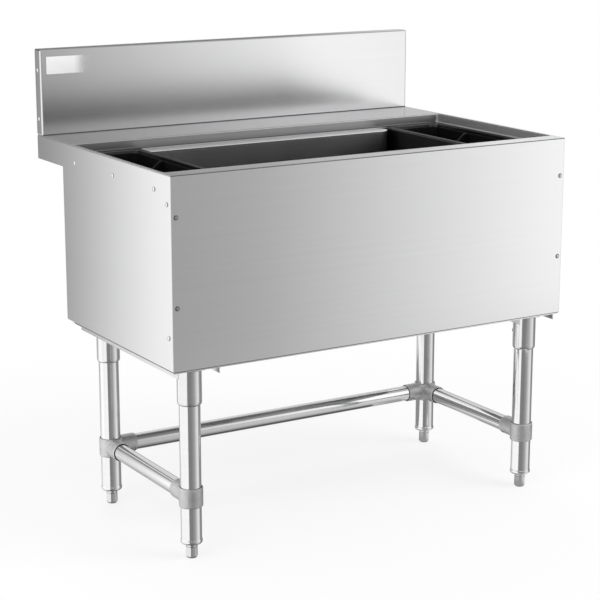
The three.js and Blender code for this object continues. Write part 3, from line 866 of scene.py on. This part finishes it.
def makeTopPan():
    bm = bmesh.new()
    edge, fold, cove = pan["edge"], pan["fold"], pan["cove"]
    recess = (pan["recessX"], pan["recessY"], pan["corner"])
    rings = [
        plan(across, (front, back), pan["outerCorner"] + edge * near, rim - edge * far, -edge * near)
        for near, far in bend(4)
    ]
    rings += [plan(*recess, rim - pan["foldHigh"] * near, fold * far) for near, far in bend(6)]
    rings += [plan(*recess, sunkFloor + cove * far, -cove * near) for near, far in bend()]
    floorEdge = ringed(bm, rings)[-1]
    leftWell = (-pan["wellX"][1], -pan["wellX"][0])
    openings = [(x, pan["wellY"], pan["wellCorner"], pan["lip"], pan["wellFold"]) for x in (leftWell, pan["wellX"])]
    openings.append((pan["tubX"], pan["tubY"], pan["tubCorner"], sheet, sheet))
    mouths = []
    for *mouth, deep, roll in openings:
        lip = [plan(*mouth, sunkFloor - roll * near, roll * far) for near, far in bend(4)]
        if deep > roll:
            lip.append(plan(*mouth, sunkFloor - deep))
        mouths.append(ringed(bm, lip)[0])
    fillBetween(bm, floorEdge, *mouths)
    facingUp(bm)
    piece = sheetPiece(bm, "top_pan", "pan")
    hang, under = pan["hang"], rim - sheet + 0.2
    inner = half - sheet - 0.3
    flanges = bmesh.new()
    for side in (-1, 1):
        reach = sorted((side * (inner - sheet), side * inner))
        addBlock(flanges, reach, (front + 1.5, back - sheet), (rim - hang["side"], under))
    addBlock(flanges, (-inner, inner), (front + 1.5, front + 2.7), (rim - hang["front"], under), 0.3)
    addBlock(flanges, (-inner, inner), (back - sheet, back), (rim - hang["back"], rim - 0.7), 0.4)
    withBlocks(piece, flanges)
    # the sunk floor gets the sump finish and the recess's back wall the recessBack finish, both painted shade; the
    # rear fold and the divider edges keep the pan's own steel
    for word in ("sump", "recess", "recessBack"):
        piece.data.materials.append(finishes[word])
    reachX, reachY = grown(pan["recessX"], 0.1), grown(pan["recessY"], 0.1)
    for face in piece.data.polygons:
        x, y, z = face.center / mm
        inside = reachX[0] < x < reachX[1] and reachY[0] < y < reachY[1]
        rearFold = pan["rearFoldFrom"] < x < pan["tubX"][1] and abs(z - sunkFloor) > 0.05
        dividerEdge = z < sunkFloor - 0.02 and -1 < x - pan["wellX"][0] < 0.1
        if inside and z < sunkFloor + 0.05 and not rearFold and not dividerEdge:
            face.material_index = 1
        elif inside and sunkFloor < z < rim - 0.1:
            atBack = y > pan["recessY"][1] - 5 and abs(x) < pan["recessX"][1] - 5.2
            face.material_index = 3 if atBack else 2


# backsplash: folded channel, open behind, with a hole pair in each end

splash = {
    "frontY": 278.7, "z": (763.2, 939.8), "sideFold": 4, "topFold": 3.6, "footCurl": 0.5,
    "lip": 22, "hole": 4.4, "holeY": 296.1, "holeZ": (896, 795),
}


def makeBacksplash():
    bm = bmesh.new()
    low, high = splash["z"]
    curl, fold = splash["footCurl"], splash["topFold"]

    def level(inset, z):
        x, y = half - inset, splash["frontY"] + inset
        corner = max(splash["sideFold"] - inset, 0.3)
        return atHeight(roundedLine([(-x, back), (-x, y, corner), (x, y, corner), (x, back)], False, 6), z)

    rings = [level(curl * far * 0.9, low + curl * near) for near, far in bend(4)]
    rings += [level(fold * near, high - fold * far) for near, far in bend()]
    bm.faces.new(ringed(bm, rings, closed=False)[-1])
    facingUp(bm, Vector((0, -1, 0)))
    piece = sheetPiece(bm, "backsplash", "splash")
    drill = bmesh.new()
    hole, end = splash["hole"], half + 5
    for z in splash["holeZ"]:
        addTurned(drill, [(0, -end), (hole, -end), (hole, end), (0, end)], (0, splash["holeY"], z), "x", 32)
    drilled(piece, drill)
    lip = bmesh.new()
    addBlock(lip, grown(across, -0.6), (back - sheet, back), (high - splash["lip"], high - 0.9), 0.4)
    withBlocks(piece, lip)


# painted shade: dark strips stand in for the shadow lines in the seams, under the backsplash and where the panels meet
# the cover

bead = {"splash": 1.3, "side": 1.1, "front": 0.6, "rim": 1.4, "back": 0.35, "over": 0.2, "soft": 0.2}


def makeShadowSeams():
    # thin blocks that stand back behind the panels and reach over their edges
    behind, over, soft = bead["back"], bead["over"], bead["soft"]
    bm = bmesh.new()
    splashY, panelY = splash["frontY"] + behind, front + behind
    addBlock(bm, grown(across, -1), (splashY, splash["frontY"] + 3), (rim - 0.1, rim + bead["splash"]), soft)
    coverX, coverY, _ = boxOf("bottom_cover")
    low = boxOf("left_side_panel")[2][0]
    for side in (-1, 1):
        reach = sorted((side * (coverX[1] - 0.4), side * (half - behind)))
        addBlock(bm, reach, (front + 2, coverY[1]), (low - bead["side"], low + over), soft)
    low = boxOf("front_panel")[2][0]
    addBlock(bm, grown(across, -1.5), (panelY, front + sheet), (low - bead["front"], low + over), soft)
    under = rim - pan["edge"]
    addBlock(bm, grown(across, -0.6), (panelY, front + 1.6), (under - bead["rim"], under + 0.1), soft)
    newPiece(bm, "seam_shadow_strips", "bead")


# label: a blank satin film with soft corners; its sizes stand by its finish

def makeLabel():
    bm = bmesh.new()
    y0, y1 = label["y"]
    steps = ((0, y1), (0, y0 + 0.18), (0.08, y0 + 0.05), (0.25, y0))
    rings = [plan(label["x"], label["z"], label["corner"], y, -inset) for inset, y in steps]
    made = ringed(bm, [[point.xzy for point in ring] for ring in rings])
    bm.faces.new(made[-1])
    bm.faces.new(made[0])
    outwards(bm)
    newPiece(bm, "label_film", "label", stands=("label_plate",))


# ice tub, with a wide cove round its floor

tub = {
    "x": (-303.5, 303.5), "y": (-251.5, 140.6), "z": (437.2, 740.5), "corner": 10, "cove": 9,
    "mouthRoll": 1.3, "flange": 6, "drainHole": 17,
}
drainAt = (0, -55.45)


def makeTub():
    bm = bmesh.new()
    (y0, y1), (floor, top) = tub["y"], tub["z"]
    corner, cove, mouth = tub["corner"], tub["cove"], tub["mouthRoll"]
    out = sheet + tub["flange"]
    rings = [plan(grown(tub["x"], out), (y0 - out, y1 + sheet), corner + sheet, top)]
    for near, far in bend(3):
        roll = mouth * far
        rings.append(plan(tub["x"], (y0, y1 + min(0, 1 - roll)), corner, top - mouth * near, roll))
    rings += [plan(tub["x"], tub["y"], corner, floor + cove * far, -cove * near) for near, far in bend(8)]
    edge = ringed(bm, rings)[-1]
    fillBetween(bm, edge, [bm.verts.new(point) for point in circle(40, tub["drainHole"], floor, drainAt)])
    facingUp(bm)
    piece = sheetPiece(bm, "ice_tub", "tub")
    wall = tub["x"][1]
    # the end walls get the tubEnd finish, their painted shade
    repainted(piece.data, "tubEnd", lambda at, normal: (
        abs(normal.x) > 0.7 and wall - 6 < abs(at.x) < wall + 0.1 and at.z < top - 2
    ))
    evenShading(piece)


chase = {
    "x": (-303.2, 292.8), "y": (94.4, 140.3), "z": (437.5, 740.7), "fold": 1.4,
    "frontCorner": 0.8, "rearCorner": 10,
}


def makeChase():
    bm = bmesh.new()
    (x0, x1), (y0, y1), (z0, z1) = chase["x"], chase["y"], chase["z"]
    fold, endRadius = chase["fold"], (y1 - y0) / 2 - 0.05

    def outline(inset, z):
        left, right, near, rear = x0 + inset, x1 - inset, y0 + inset, y1 - inset
        return atHeight(roundedLine([
            (left, near, chase["frontCorner"]), (right, near, endRadius - inset),
            (right, rear, endRadius - inset), (left, rear, chase["rearCorner"] - inset),
        ], True, 12), z)

    rings = [outline(0, z0)] + [outline(fold * near, z1 - fold * far) for near, far in bend()]
    bm.faces.new(ringed(bm, rings)[-1])
    facingUp(bm, Vector((0, -1, 0)))
    piece = sheetPiece(bm, "line_chase", "chase")
    # the top of the chase gets the chaseTop finish, its painted highlight
    repainted(piece.data, "chaseTop", lambda at, normal: at.z > z1 - fold and normal.z > 0.2)
    evenShading(piece)


# bottle wells: moulded, with fins that hold the bottles apart

well = {
    "x": (316.8, 432.1), "y": (-250.2, 125.0), "z": (507.4, 736.0), "corner": 17.4, "wall": 2.5,
    "footRound": 9, "fin": 44, "finThick": 6, "finSlope": (36, 30), "finCorners": (6, 9), "finBelow": 0.4,
    "finY": (-124.3, -0.9), "softEdge": 0.9,
}


def addFin(bm, wallX, side, middle):
    # a fin that reaches in from the left (-1) or right (1) wall of a well
    (low, top), wall, thick = well["z"], well["wall"], well["finThick"]
    (slope, down), (lowCorner, highCorner) = well["finSlope"], well["finCorners"]
    root, tip, head = wallX - side * wall / 2, wallX - side * (wall + well["fin"]), top - well["finBelow"]
    line = roundedLine([
        (root, low + wall / 2), (tip, low + wall / 2, 0), (tip, head - down, lowCorner),
        (tip + side * slope, head, highCorner), (root, head),
    ], False, 6)
    face = bm.faces.new([bm.verts.new((p.x, middle - thick / 2, p.y)) for p in line])
    made = bmesh.ops.extrude_face_region(bm, geom=[face])["geom"]
    moved = [part for part in made if isinstance(part, bmesh.types.BMVert)]
    bmesh.ops.translate(bm, vec=(0, thick, 0), verts=moved)
    fin = set(face.verts) | set(moved)
    rounded = [
        edge for edge in bm.edges
        if fin.issuperset(edge.verts) and abs(edge.verts[0].co.y - edge.verts[1].co.y) < 0.01
    ]
    bevelled(bm, rounded, well["softEdge"], 3)


def makeWell(word, side):
    bm = bmesh.new()
    spanX = sorted(side * x for x in well["x"])
    box = (spanX, well["y"], well["corner"])
    low, top = well["z"]
    wall, foot = well["wall"], well["footRound"]
    rings = [plan(*box, low + foot * far, -foot * near) for near, far in reversed(bend(6))]
    for turn in (math.radians(a) for a in range(0, 181, 30)):
        rings.append(plan(*box, top - wall / 2 * (1 - math.sin(turn)), -wall / 2 * (1 - math.cos(turn))))
    inner = foot - wall
    rings += [plan(*box, low + wall + inner * far, -wall - inner * near) for near, far in bend(6)]
    made = ringed(bm, rings)
    bm.faces.new(made[0])
    bm.faces.new(made[-1])
    for middle in well["finY"]:
        addFin(bm, spanX[0], -1, middle)
        addFin(bm, spanX[1], 1, middle)
    outwards(bm)
    name = word + "_bottle_well"
    piece = newPiece(bm, name + "_moulding", "plastic", word + "_well", (name,), sharp=40)
    evenShading(piece)


# screws

sideScrew = {"head": 4.6, "height": 2.6, "shank": 2.1, "length": 9, "slot": 2.5, "slotWide": 1.0, "slotDeep": 1.3}
frontScrew = {
    "head": 4.8, "height": 1.8, "shank": 2.1, "length": 9, "slot": 2.4, "slotWide": 1.1, "slotDeep": 1.0,
    "chamfer": 2.1,
}
spinStep = 37  # degrees from one cross recess to the next


def screwMesh(name, size, material):
    bm = bmesh.new()
    head, height, shank, length = (size[key] for key in ("head", "height", "shank", "length"))
    if "chamfer" in size:
        flat = head - size["chamfer"]
        dome = [(head, 0.3), (flat + 0.25, height - 0.08), (flat, height), (flat * 0.5, height), (0, height)]
    else:
        dome = [(head * (1 - far), 0.5 + (height - 0.5) * (1 - near)) for near, far in reversed(bend(10))]
    rows = [
        (0, -length), (shank * 0.5, -length), (shank, -length + 1.4), (shank, 0.02), (head - 0.15, 0.02),
        (head, 0.17),
    ]
    addTurned(bm, rows + dome, sides=40)
    bmesh.ops.remove_doubles(bm, verts=bm.verts, dist=0.001)
    outwards(bm)
    blank = newObject(name, meshOf(bm, name))
    # cross recess, narrower at its bottom
    cross = bmesh.new()
    deep, wide, long = size["slotDeep"], size["slotWide"] / 2, size["slot"]
    for turn in (0, math.pi / 2):
        made = bmesh.ops.create_cube(cross, size=2)["verts"]
        for vert in made:
            x, y = vert.co.x * long, vert.co.y * wide
            atBottom = vert.co.z < 0
            vert.co = (x * 0.35, y * 0.6, height - deep) if atBottom else (x * 1.25, y * 1.1, height + 0.6)
        bmesh.ops.rotate(cross, cent=(0, 0, 0), matrix=Matrix.Rotation(turn, 3, "Z"), verts=made)
    drilled(blank, cross, use_self=True)
    made = blank.data
    bpy.data.objects.remove(blank)
    made.shade_smooth()
    made.set_sharp_from_angle(angle=math.radians(30))
    made.materials.append(finishes[material])
    # the front screws keep the plain screw steel only on their flat top; the rest is their painted shade
    if "chamfer" in size:
        repainted(made, "screw", lambda at, normal: normal.z > 0.99 and at.z > height - 0.05)
    return made


def makeScrews():
    sideMesh = screwMesh("sideScrewHead", sideScrew, "screw")
    frontMesh = screwMesh("frontScrewHead", frontScrew, "frontScrew")
    count = 0
    for name in sorted(nodes):
        if "_screw_" not in name or "socket" in name:
            continue
        (x0, x1), (y0, y1), (z0, z1) = boxOf(name)
        if name.startswith("front"):
            place = Vector(((x0 + x1) / 2, front, (z0 + z1) / 2))
            turn = Matrix.Rotation(math.pi / 2, 4, "X")
            mesh = frontMesh
        else:
            side = -1 if name.startswith("left") else 1
            place = Vector((side * half, (y0 + y1) / 2, (z0 + z1) / 2))
            turn = Matrix.Rotation(side * math.pi / 2, 4, "Y")
            mesh = sideMesh
        screw = newObject(name + "_head", mesh)
        spin = Matrix.Rotation(math.radians(spinStep * count % 90), 4, "Z")
        screw.matrix_world = Matrix.Translation(place * mm) @ turn @ spin
        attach(screw, "cabinet")
        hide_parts(name)
        count += 1
    return count


# legs

legX, legY = 401.2, (-258.2, 103.0)
leg = {
    "radius": 20.65, "inner": 19.15, "end": 30, "top": 383.4, "bead": (30.2, 39.6), "beadRadius": 21.75,
    "plugTop": 64, "bore": 6.65,
}
socket = {
    "radius": 24, "bore": 20.9, "z": (310.3, 386.7), "boreTop": 383.7, "plate": 38, "plateThick": 3,
    "screwZ": 347, "screwOut": 25.2,
}
setScrew = {
    "radius": 3.2, "length": 4.6, "keyDeep": 2.2,
    "key": 0.55,  # mouth of the recess, a share of the radius
    "keyFlat": 0.88,  # half width of the hexagon, a share of that mouth
}
foot = {
    "corner": 12.7, "hexZ": (3, 23.7), "neck": 10.6, "top": 29.7, "stem": 6.35, "stemTop": 86, "sole": 9.6,
    "belly": 0.3, "blunt": 0.18, "threadDeep": 0.55, "pitch": 1.9,
    "turned": {"front_left": -6, "front_right": -15, "rear_left": -6, "rear_right": -15},
}


def turnedPiece(profile, title, name, material, slot, centre, axis="z", **how):
    bm = bmesh.new()
    addTurned(bm, profile, centre, axis, **how)
    bmesh.ops.remove_doubles(bm, verts=bm.verts, dist=0.001)
    outwards(bm)
    newPiece(bm, title, material, stands=(name,))


def makeLegTube(name, centre):
    low, high = leg["bead"]
    bulge, bore, radius, inner = leg["beadRadius"], leg["bore"], leg["radius"], leg["inner"]
    end, top, plug = leg["end"], leg["top"], leg["plugTop"]
    profile = [
        (bore, end + 0.8), (bore + 0.8, end), (bulge - 3.6, end), (bulge - 2.1, end + 0.5),
        (bulge - 0.9, end + 1.5), (bulge - 0.2, end + 3), (bulge, low + 4.4), (bulge, high - 3),
        (bulge - 0.35, high - 1.2), (radius + 0.1, high), (radius, high + 0.6), (radius, top - 0.6),
        (radius - 0.4, top), (inner, top), (inner, plug), (bore, plug),
    ]
    turnedPiece(profile, name + "_polished", name, "tube", "tube_steel", (*centre, 0), closed=True, sides=72)


def makeSocket(name, centre):
    low, high = socket["z"]
    r, bore, plate, end = socket["radius"], socket["bore"], socket["plate"], socket["boreTop"]
    under = high - socket["plateThick"]
    outline = [
        (0, end), (bore, end), (bore, low + 0.6), (bore + 0.3, low, 0), (r - 2.4, low, 0.3),
        (r - 0.7, low + 2.3, 0.8), (r, low + 6, 3), (r, under, 3.5), (plate, under, 0.9), (plate, high, 0.5),
        (0, high),
    ]
    line = roundedLine(outline, False, 4)
    turnedPiece(line, name + "_cast", name, "socket", "cast_aluminium", (*centre, 0), sides=72)


def aimed(start, way):
    # moves what stands on +Z to the start, and turns it along the way
    return Matrix.Translation(start) @ Vector(way).to_track_quat("Z", "Y").to_matrix().to_4x4()


def makeSetScrew(name, start, way, out, radius=setScrew["radius"]):
    # a cup-end screw with a hexagon recess; its end stands out from start along way
    bm = bmesh.new()
    low, key = out - setScrew["length"], radius * setScrew["key"]
    addTurned(bm, [
        (0, low), (radius - 0.6, low), (radius, low + 0.6), (radius, out - 0.35), (radius - 0.35, out), (key, out),
    ], sides=30)

    def turnOf(vert):
        return math.atan2(vert.co.y, vert.co.x)

    mouth = [vert for vert in bm.verts if abs(vert.co.z - out) < 1e-5 and abs(vert.co.xy.length - key) < 1e-3]
    mouth.sort(key=turnOf)
    hexagon = []
    for angle in (turnOf(vert) for vert in mouth):
        away = hexReach(angle, setScrew["keyFlat"] * key / math.cos(math.pi / 6))
        hexagon.append(bm.verts.new((away * math.cos(angle), away * math.sin(angle), out - 0.1)))
    deep = [bm.verts.new((*vert.co.xy, out - setScrew["keyDeep"])) for vert in hexagon]
    bridged(bm, mouth, hexagon)
    bridged(bm, hexagon, deep)
    bm.faces.new(deep)
    outwards(bm)
    bmesh.ops.transform(bm, matrix=aimed(start, way), verts=bm.verts)
    stands = (name,) if name in nodes else ()
    title = name + ("_hexagon" if stands else "")
    newPiece(bm, title, "screw", "cabinet", stands, sharp=28)


def footHex(corner):
    # a hexagon with blunt corners and slightly swollen sides
    blunt = corner - foot["blunt"]

    def away(angle):
        flat = min(hexReach(angle, corner), blunt)
        return flat + foot["belly"] * (blunt - flat)

    return away


def makeFoot(word, centre, turned):
    bm = bmesh.new()
    corner, sole, neck, top, stemTop = (foot[key] for key in ("corner", "sole", "neck", "top", "stemTop"))
    low, high = foot["hexZ"]
    rows = [
        (sole - 0.5, 0), (sole, 0.35), (footHex(corner - 0.7), low), (footHex(corner), low + 1.0),
        (footHex(corner), high - 1.1), (footHex(corner - 1.1), high),
    ]
    made = ringed(bm, [circle(36, away, z, turned=math.radians(turned)) for away, z in rows])
    bm.faces.new(made[0])
    bm.faces.new(made[-1])
    addTurned(bm, [(0, high - 2), (neck, high - 2), (neck, top - 0.7), (neck - 0.7, top), (0, top)], sides=48)
    core, start = foot["stem"] - foot["threadDeep"], top - 1
    rod = [(0, start), (core, start), (core, stemTop - 1), (core - 1, stemTop), (0, stemTop)]
    addTurned(bm, rod, sides=28)
    addThread(bm, core - 0.03, foot["threadDeep"], foot["pitch"], start, stemTop - 1.2)
    outwards(bm)
    bmesh.ops.translate(bm, vec=(*centre, 0), verts=bm.verts)
    name = word + "_foot"
    newPiece(bm, name + "_turned", "foot", name, (name,), sharp=24)


# clamps: cast rings whose sleeves hold the braces

clamp = {
    "z": 125.2, "ring": 23.75, "halfHigh": 20, "sleeve": 19.5, "reach": 55, "legBore": 20.95,
    "braceBore": 17.3, "braceStart": 26, "flare": 1.35, "screwOut": 45, "screw": 4.4, "seat": 5.7,
    "grain": 1.15,  # of the remesh that melts ring and sleeves together
    "cone": 2.2,  # length of the flared mouths, in flares
    "past": 4,  # the cutters reach this far out
}


def clampScrewPlace(centre, arm, side):
    # the screws look inwards and a little down
    start = (centre[0] + arm[0] * clamp["screwOut"], centre[1] + arm[1] * clamp["screwOut"], clamp["z"])
    return start, (0, -0.8, -0.6) if arm[0] else (-0.8 * side, 0, -0.6)


def makeClamp(name, centre, arms, side):
    place = (*centre, clamp["z"])
    r, h, sleeve, reach = clamp["ring"], clamp["halfHigh"], clamp["sleeve"], clamp["reach"]
    ways = [("x" if arm[0] else "y", arm[0] + arm[1]) for arm in arms]
    bm = bmesh.new()
    addTurned(bm, [
        (0, -h), (r - 1.8, -h), (r - 0.5, -h + 0.5), (r, -h + 1.8), (r, h - 1.8), (r - 0.5, h - 0.5),
        (r - 1.8, h), (0, h),
    ], place, sides=64)
    band = [(0, 0), (sleeve, 0), (sleeve, reach - 1.6), (sleeve - 0.5, reach - 0.5), (sleeve - 1.6, reach), (0, reach)]
    for axis, way in ways:
        addTurned(bm, [(radius, way * along) for radius, along in band], place, axis, sides=64)
    outwards(bm)
    piece = newPiece(bm, name + "_cast", "cast", stands=(name,), sharp=50)
    voxels = {"mode": "VOXEL", "voxel_size": clamp["grain"] * mm}
    applied(piece, ("REMESH", voxels), ("SMOOTH", {"iterations": 6, "factor": 0.6}))
    bore, flare, hole, start = clamp["legBore"], clamp["flare"], clamp["braceBore"], clamp["braceStart"]
    cone, past = clamp["cone"] * flare, clamp["past"]
    cutters = bmesh.new()
    addTurned(cutters, [
        (0, -h - past), (bore + flare, -h - past), (bore + flare, -h), (bore, cone - h), (bore, h - cone),
        (bore + flare, h), (bore + flare, h + past), (0, h + past),
    ], place, sides=72)
    armHole = [
        (0, start), (hole, start), (hole, reach - cone), (hole + flare, reach), (hole + flare, reach + past),
        (0, reach + past),
    ]
    wide, skin = clamp["seat"], sleeve - 1.6
    seat = [(0, skin), (wide - 1, skin), (wide, sleeve + 0.4), (wide, sleeve + 3), (0, sleeve + 3)]
    for arm, (axis, way) in zip(arms, ways):
        made = addTurned(cutters, seat, sides=32)
        bmesh.ops.transform(cutters, matrix=aimed(*clampScrewPlace(centre, arm, side)), verts=made)
        addTurned(cutters, [(radius, way * along) for radius, along in armHole], place, axis, sides=64)
    drilled(piece, cutters, use_self=True)
    piece.data.shade_smooth()
    piece.data.set_sharp_from_angle(angle=math.radians(42))


brace = {"radius": 17, "wall": 1.5, "fromAxis": 26.3}


def makeBrace(name, axis, centre, span):
    r, inner = brace["radius"], brace["radius"] - brace["wall"]
    low, high = span
    profile = [(inner, low), (r - 0.3, low), (r, low + 0.3), (r, high - 0.3), (r - 0.3, high), (inner, high)]
    material = "braceX" if axis == "x" else "braceY"
    turnedPiece(profile, name + "_polished", name, material, "tube_steel", centre, axis, sides=64, closed=True)


# drain

drain = {
    "bore": 12.7, "throat": 16.7, "flange": 28.5, "tail": 335.2, "floor": 437.2, "bars": 3,
    "nut": 26, "nutZ": (423.7, 435.7),
}


def makeDrain():
    bm = bmesh.new()
    floor, tail = drain["floor"], drain["tail"]
    bore, throat, flange = drain["bore"], drain["throat"], drain["flange"]
    addTurned(bm, [
        (bore, tail), (throat - 0.6, tail), (throat, tail + 0.8), (throat, tail + 8), (throat + 0.5, tail + 9.5),
        (throat, tail + 14), (throat, floor + 0.3), (flange - 0.4, floor + 0.3), (flange, floor + 0.8),
        (flange - 1.4, floor + 1.8), (flange - 4, floor + 2.3), (bore + 3.5, floor + 2.2),
        (bore + 1, floor + 1.2), (bore, floor - 2),
    ], (*drainAt, 0), closed=True, sides=64)
    # crossed strainer bars in the throat
    for k in range(drain["bars"]):
        turn = Matrix.Rotation(math.pi * k / drain["bars"], 3, "Z")
        for vert in bmesh.ops.create_cube(bm, size=2)["verts"]:
            x, y, z = vert.co
            vert.co = turn @ Vector((x * (bore + 0.8), y * 0.9, floor - 3 + z * 1.2)) + Vector((*drainAt, 0))
    outwards(bm)
    newPiece(bm, "drain_fitting_turned", "drain", stands=("drain_fitting",))


def makeDrainNut():
    bm = bmesh.new()
    (low, high), corner = drain["nutZ"], drain["nut"]
    thread = drain["throat"] + 0.3

    def ring(away, z):
        return circle(48, away, z, drainAt)

    def nutHex(corner):
        return lambda angle: min(hexReach(angle, corner) + 0.1, corner - 0.2)

    rings = [ring(nutHex(corner - 1.2), low), ring(nutHex(corner), low + 1.2)]
    rings += [ring(nutHex(corner), high - 1.2), ring(nutHex(corner - 1.2), high)]
    rings += [ring(thread + 0.6, high), ring(thread, high - 0.6), ring(thread, low + 0.6), ring(thread + 0.6, low)]
    made = ringed(bm, rings)
    bridged(bm, made[-1], made[0])
    outwards(bm)
    newPiece(bm, "drain_nut_cast", "cast", stands=("drain_nut",))


makeTopPan()
makeBacksplash()
makeLabel()
makeShadowSeams()
makeTub()
makeChase()
print("top: pan, backsplash, label, tub and line chase")

sides = (("left", -1), ("right", 1))
for word, side in sides:
    makeWell(word, side)
print("wells: two mouldings with fins")

softened("front_panel", "front", 0.6, topCut=0.8, outer=lambda point: point.y < front + 0.1)
for word, side in sides:
    softened(word + "_side_panel", "side", 0.5, topCut=1.0, outer=lambda point: abs(point.x) > half - 0.1)
    softened(word + "_leg_channel", "sheet", 0.5)
softened("bottom_cover", "sheet", 0.45)
softened("back_panel", "sheet", 0.45)
print("panels: edges broken, and", makeScrews(), "screws set")

for word, side, row in (("front_left", -1, 0), ("front_right", 1, 0), ("rear_left", -1, 1), ("rear_right", 1, 1)):
    centre = (side * legX, legY[row])
    inward = Vector((-side, 1 if row == 0 else -1)).normalized()
    arms = [(0, 1)] if row == 0 else [(0, -1), (-side, 0)]
    makeLegTube(word + "_leg_tube", centre)
    makeSocket(word + "_leg_socket", centre)
    makeSetScrew(word + "_socket_screw", (*centre, socket["screwZ"]), (*inward, 0), socket["screwOut"])
    makeFoot(word, centre, foot["turned"][word])
    makeClamp(word + "_brace_clamp", centre, arms, side)
    for arm in arms:
        title = word + ("_rear" if arm[0] else "_side") + "_clamp_screw"
        makeSetScrew(title, *clampScrewPlace(centre, arm, side), clamp["sleeve"] + 0.7, clamp["screw"])
gap = brace["fromAxis"]
for word, side in sides:
    makeBrace(word + "_brace", "y", (side * legX, 0, clamp["z"]), (legY[0] + gap, legY[1] - gap))
makeBrace("rear_brace", "x", (0, legY[1], clamp["z"]), (-legX + gap, legX - gap))
makeDrain()
makeDrainNut()
print("stand: four legs, clamps, braces and the drain")

placeCamera()
buildWorld()
buildFloor()
buildLamps()
buildCards()
scene.view_settings.view_transform = "Standard"
print("studio: camera, floor, lamps and cards are up")
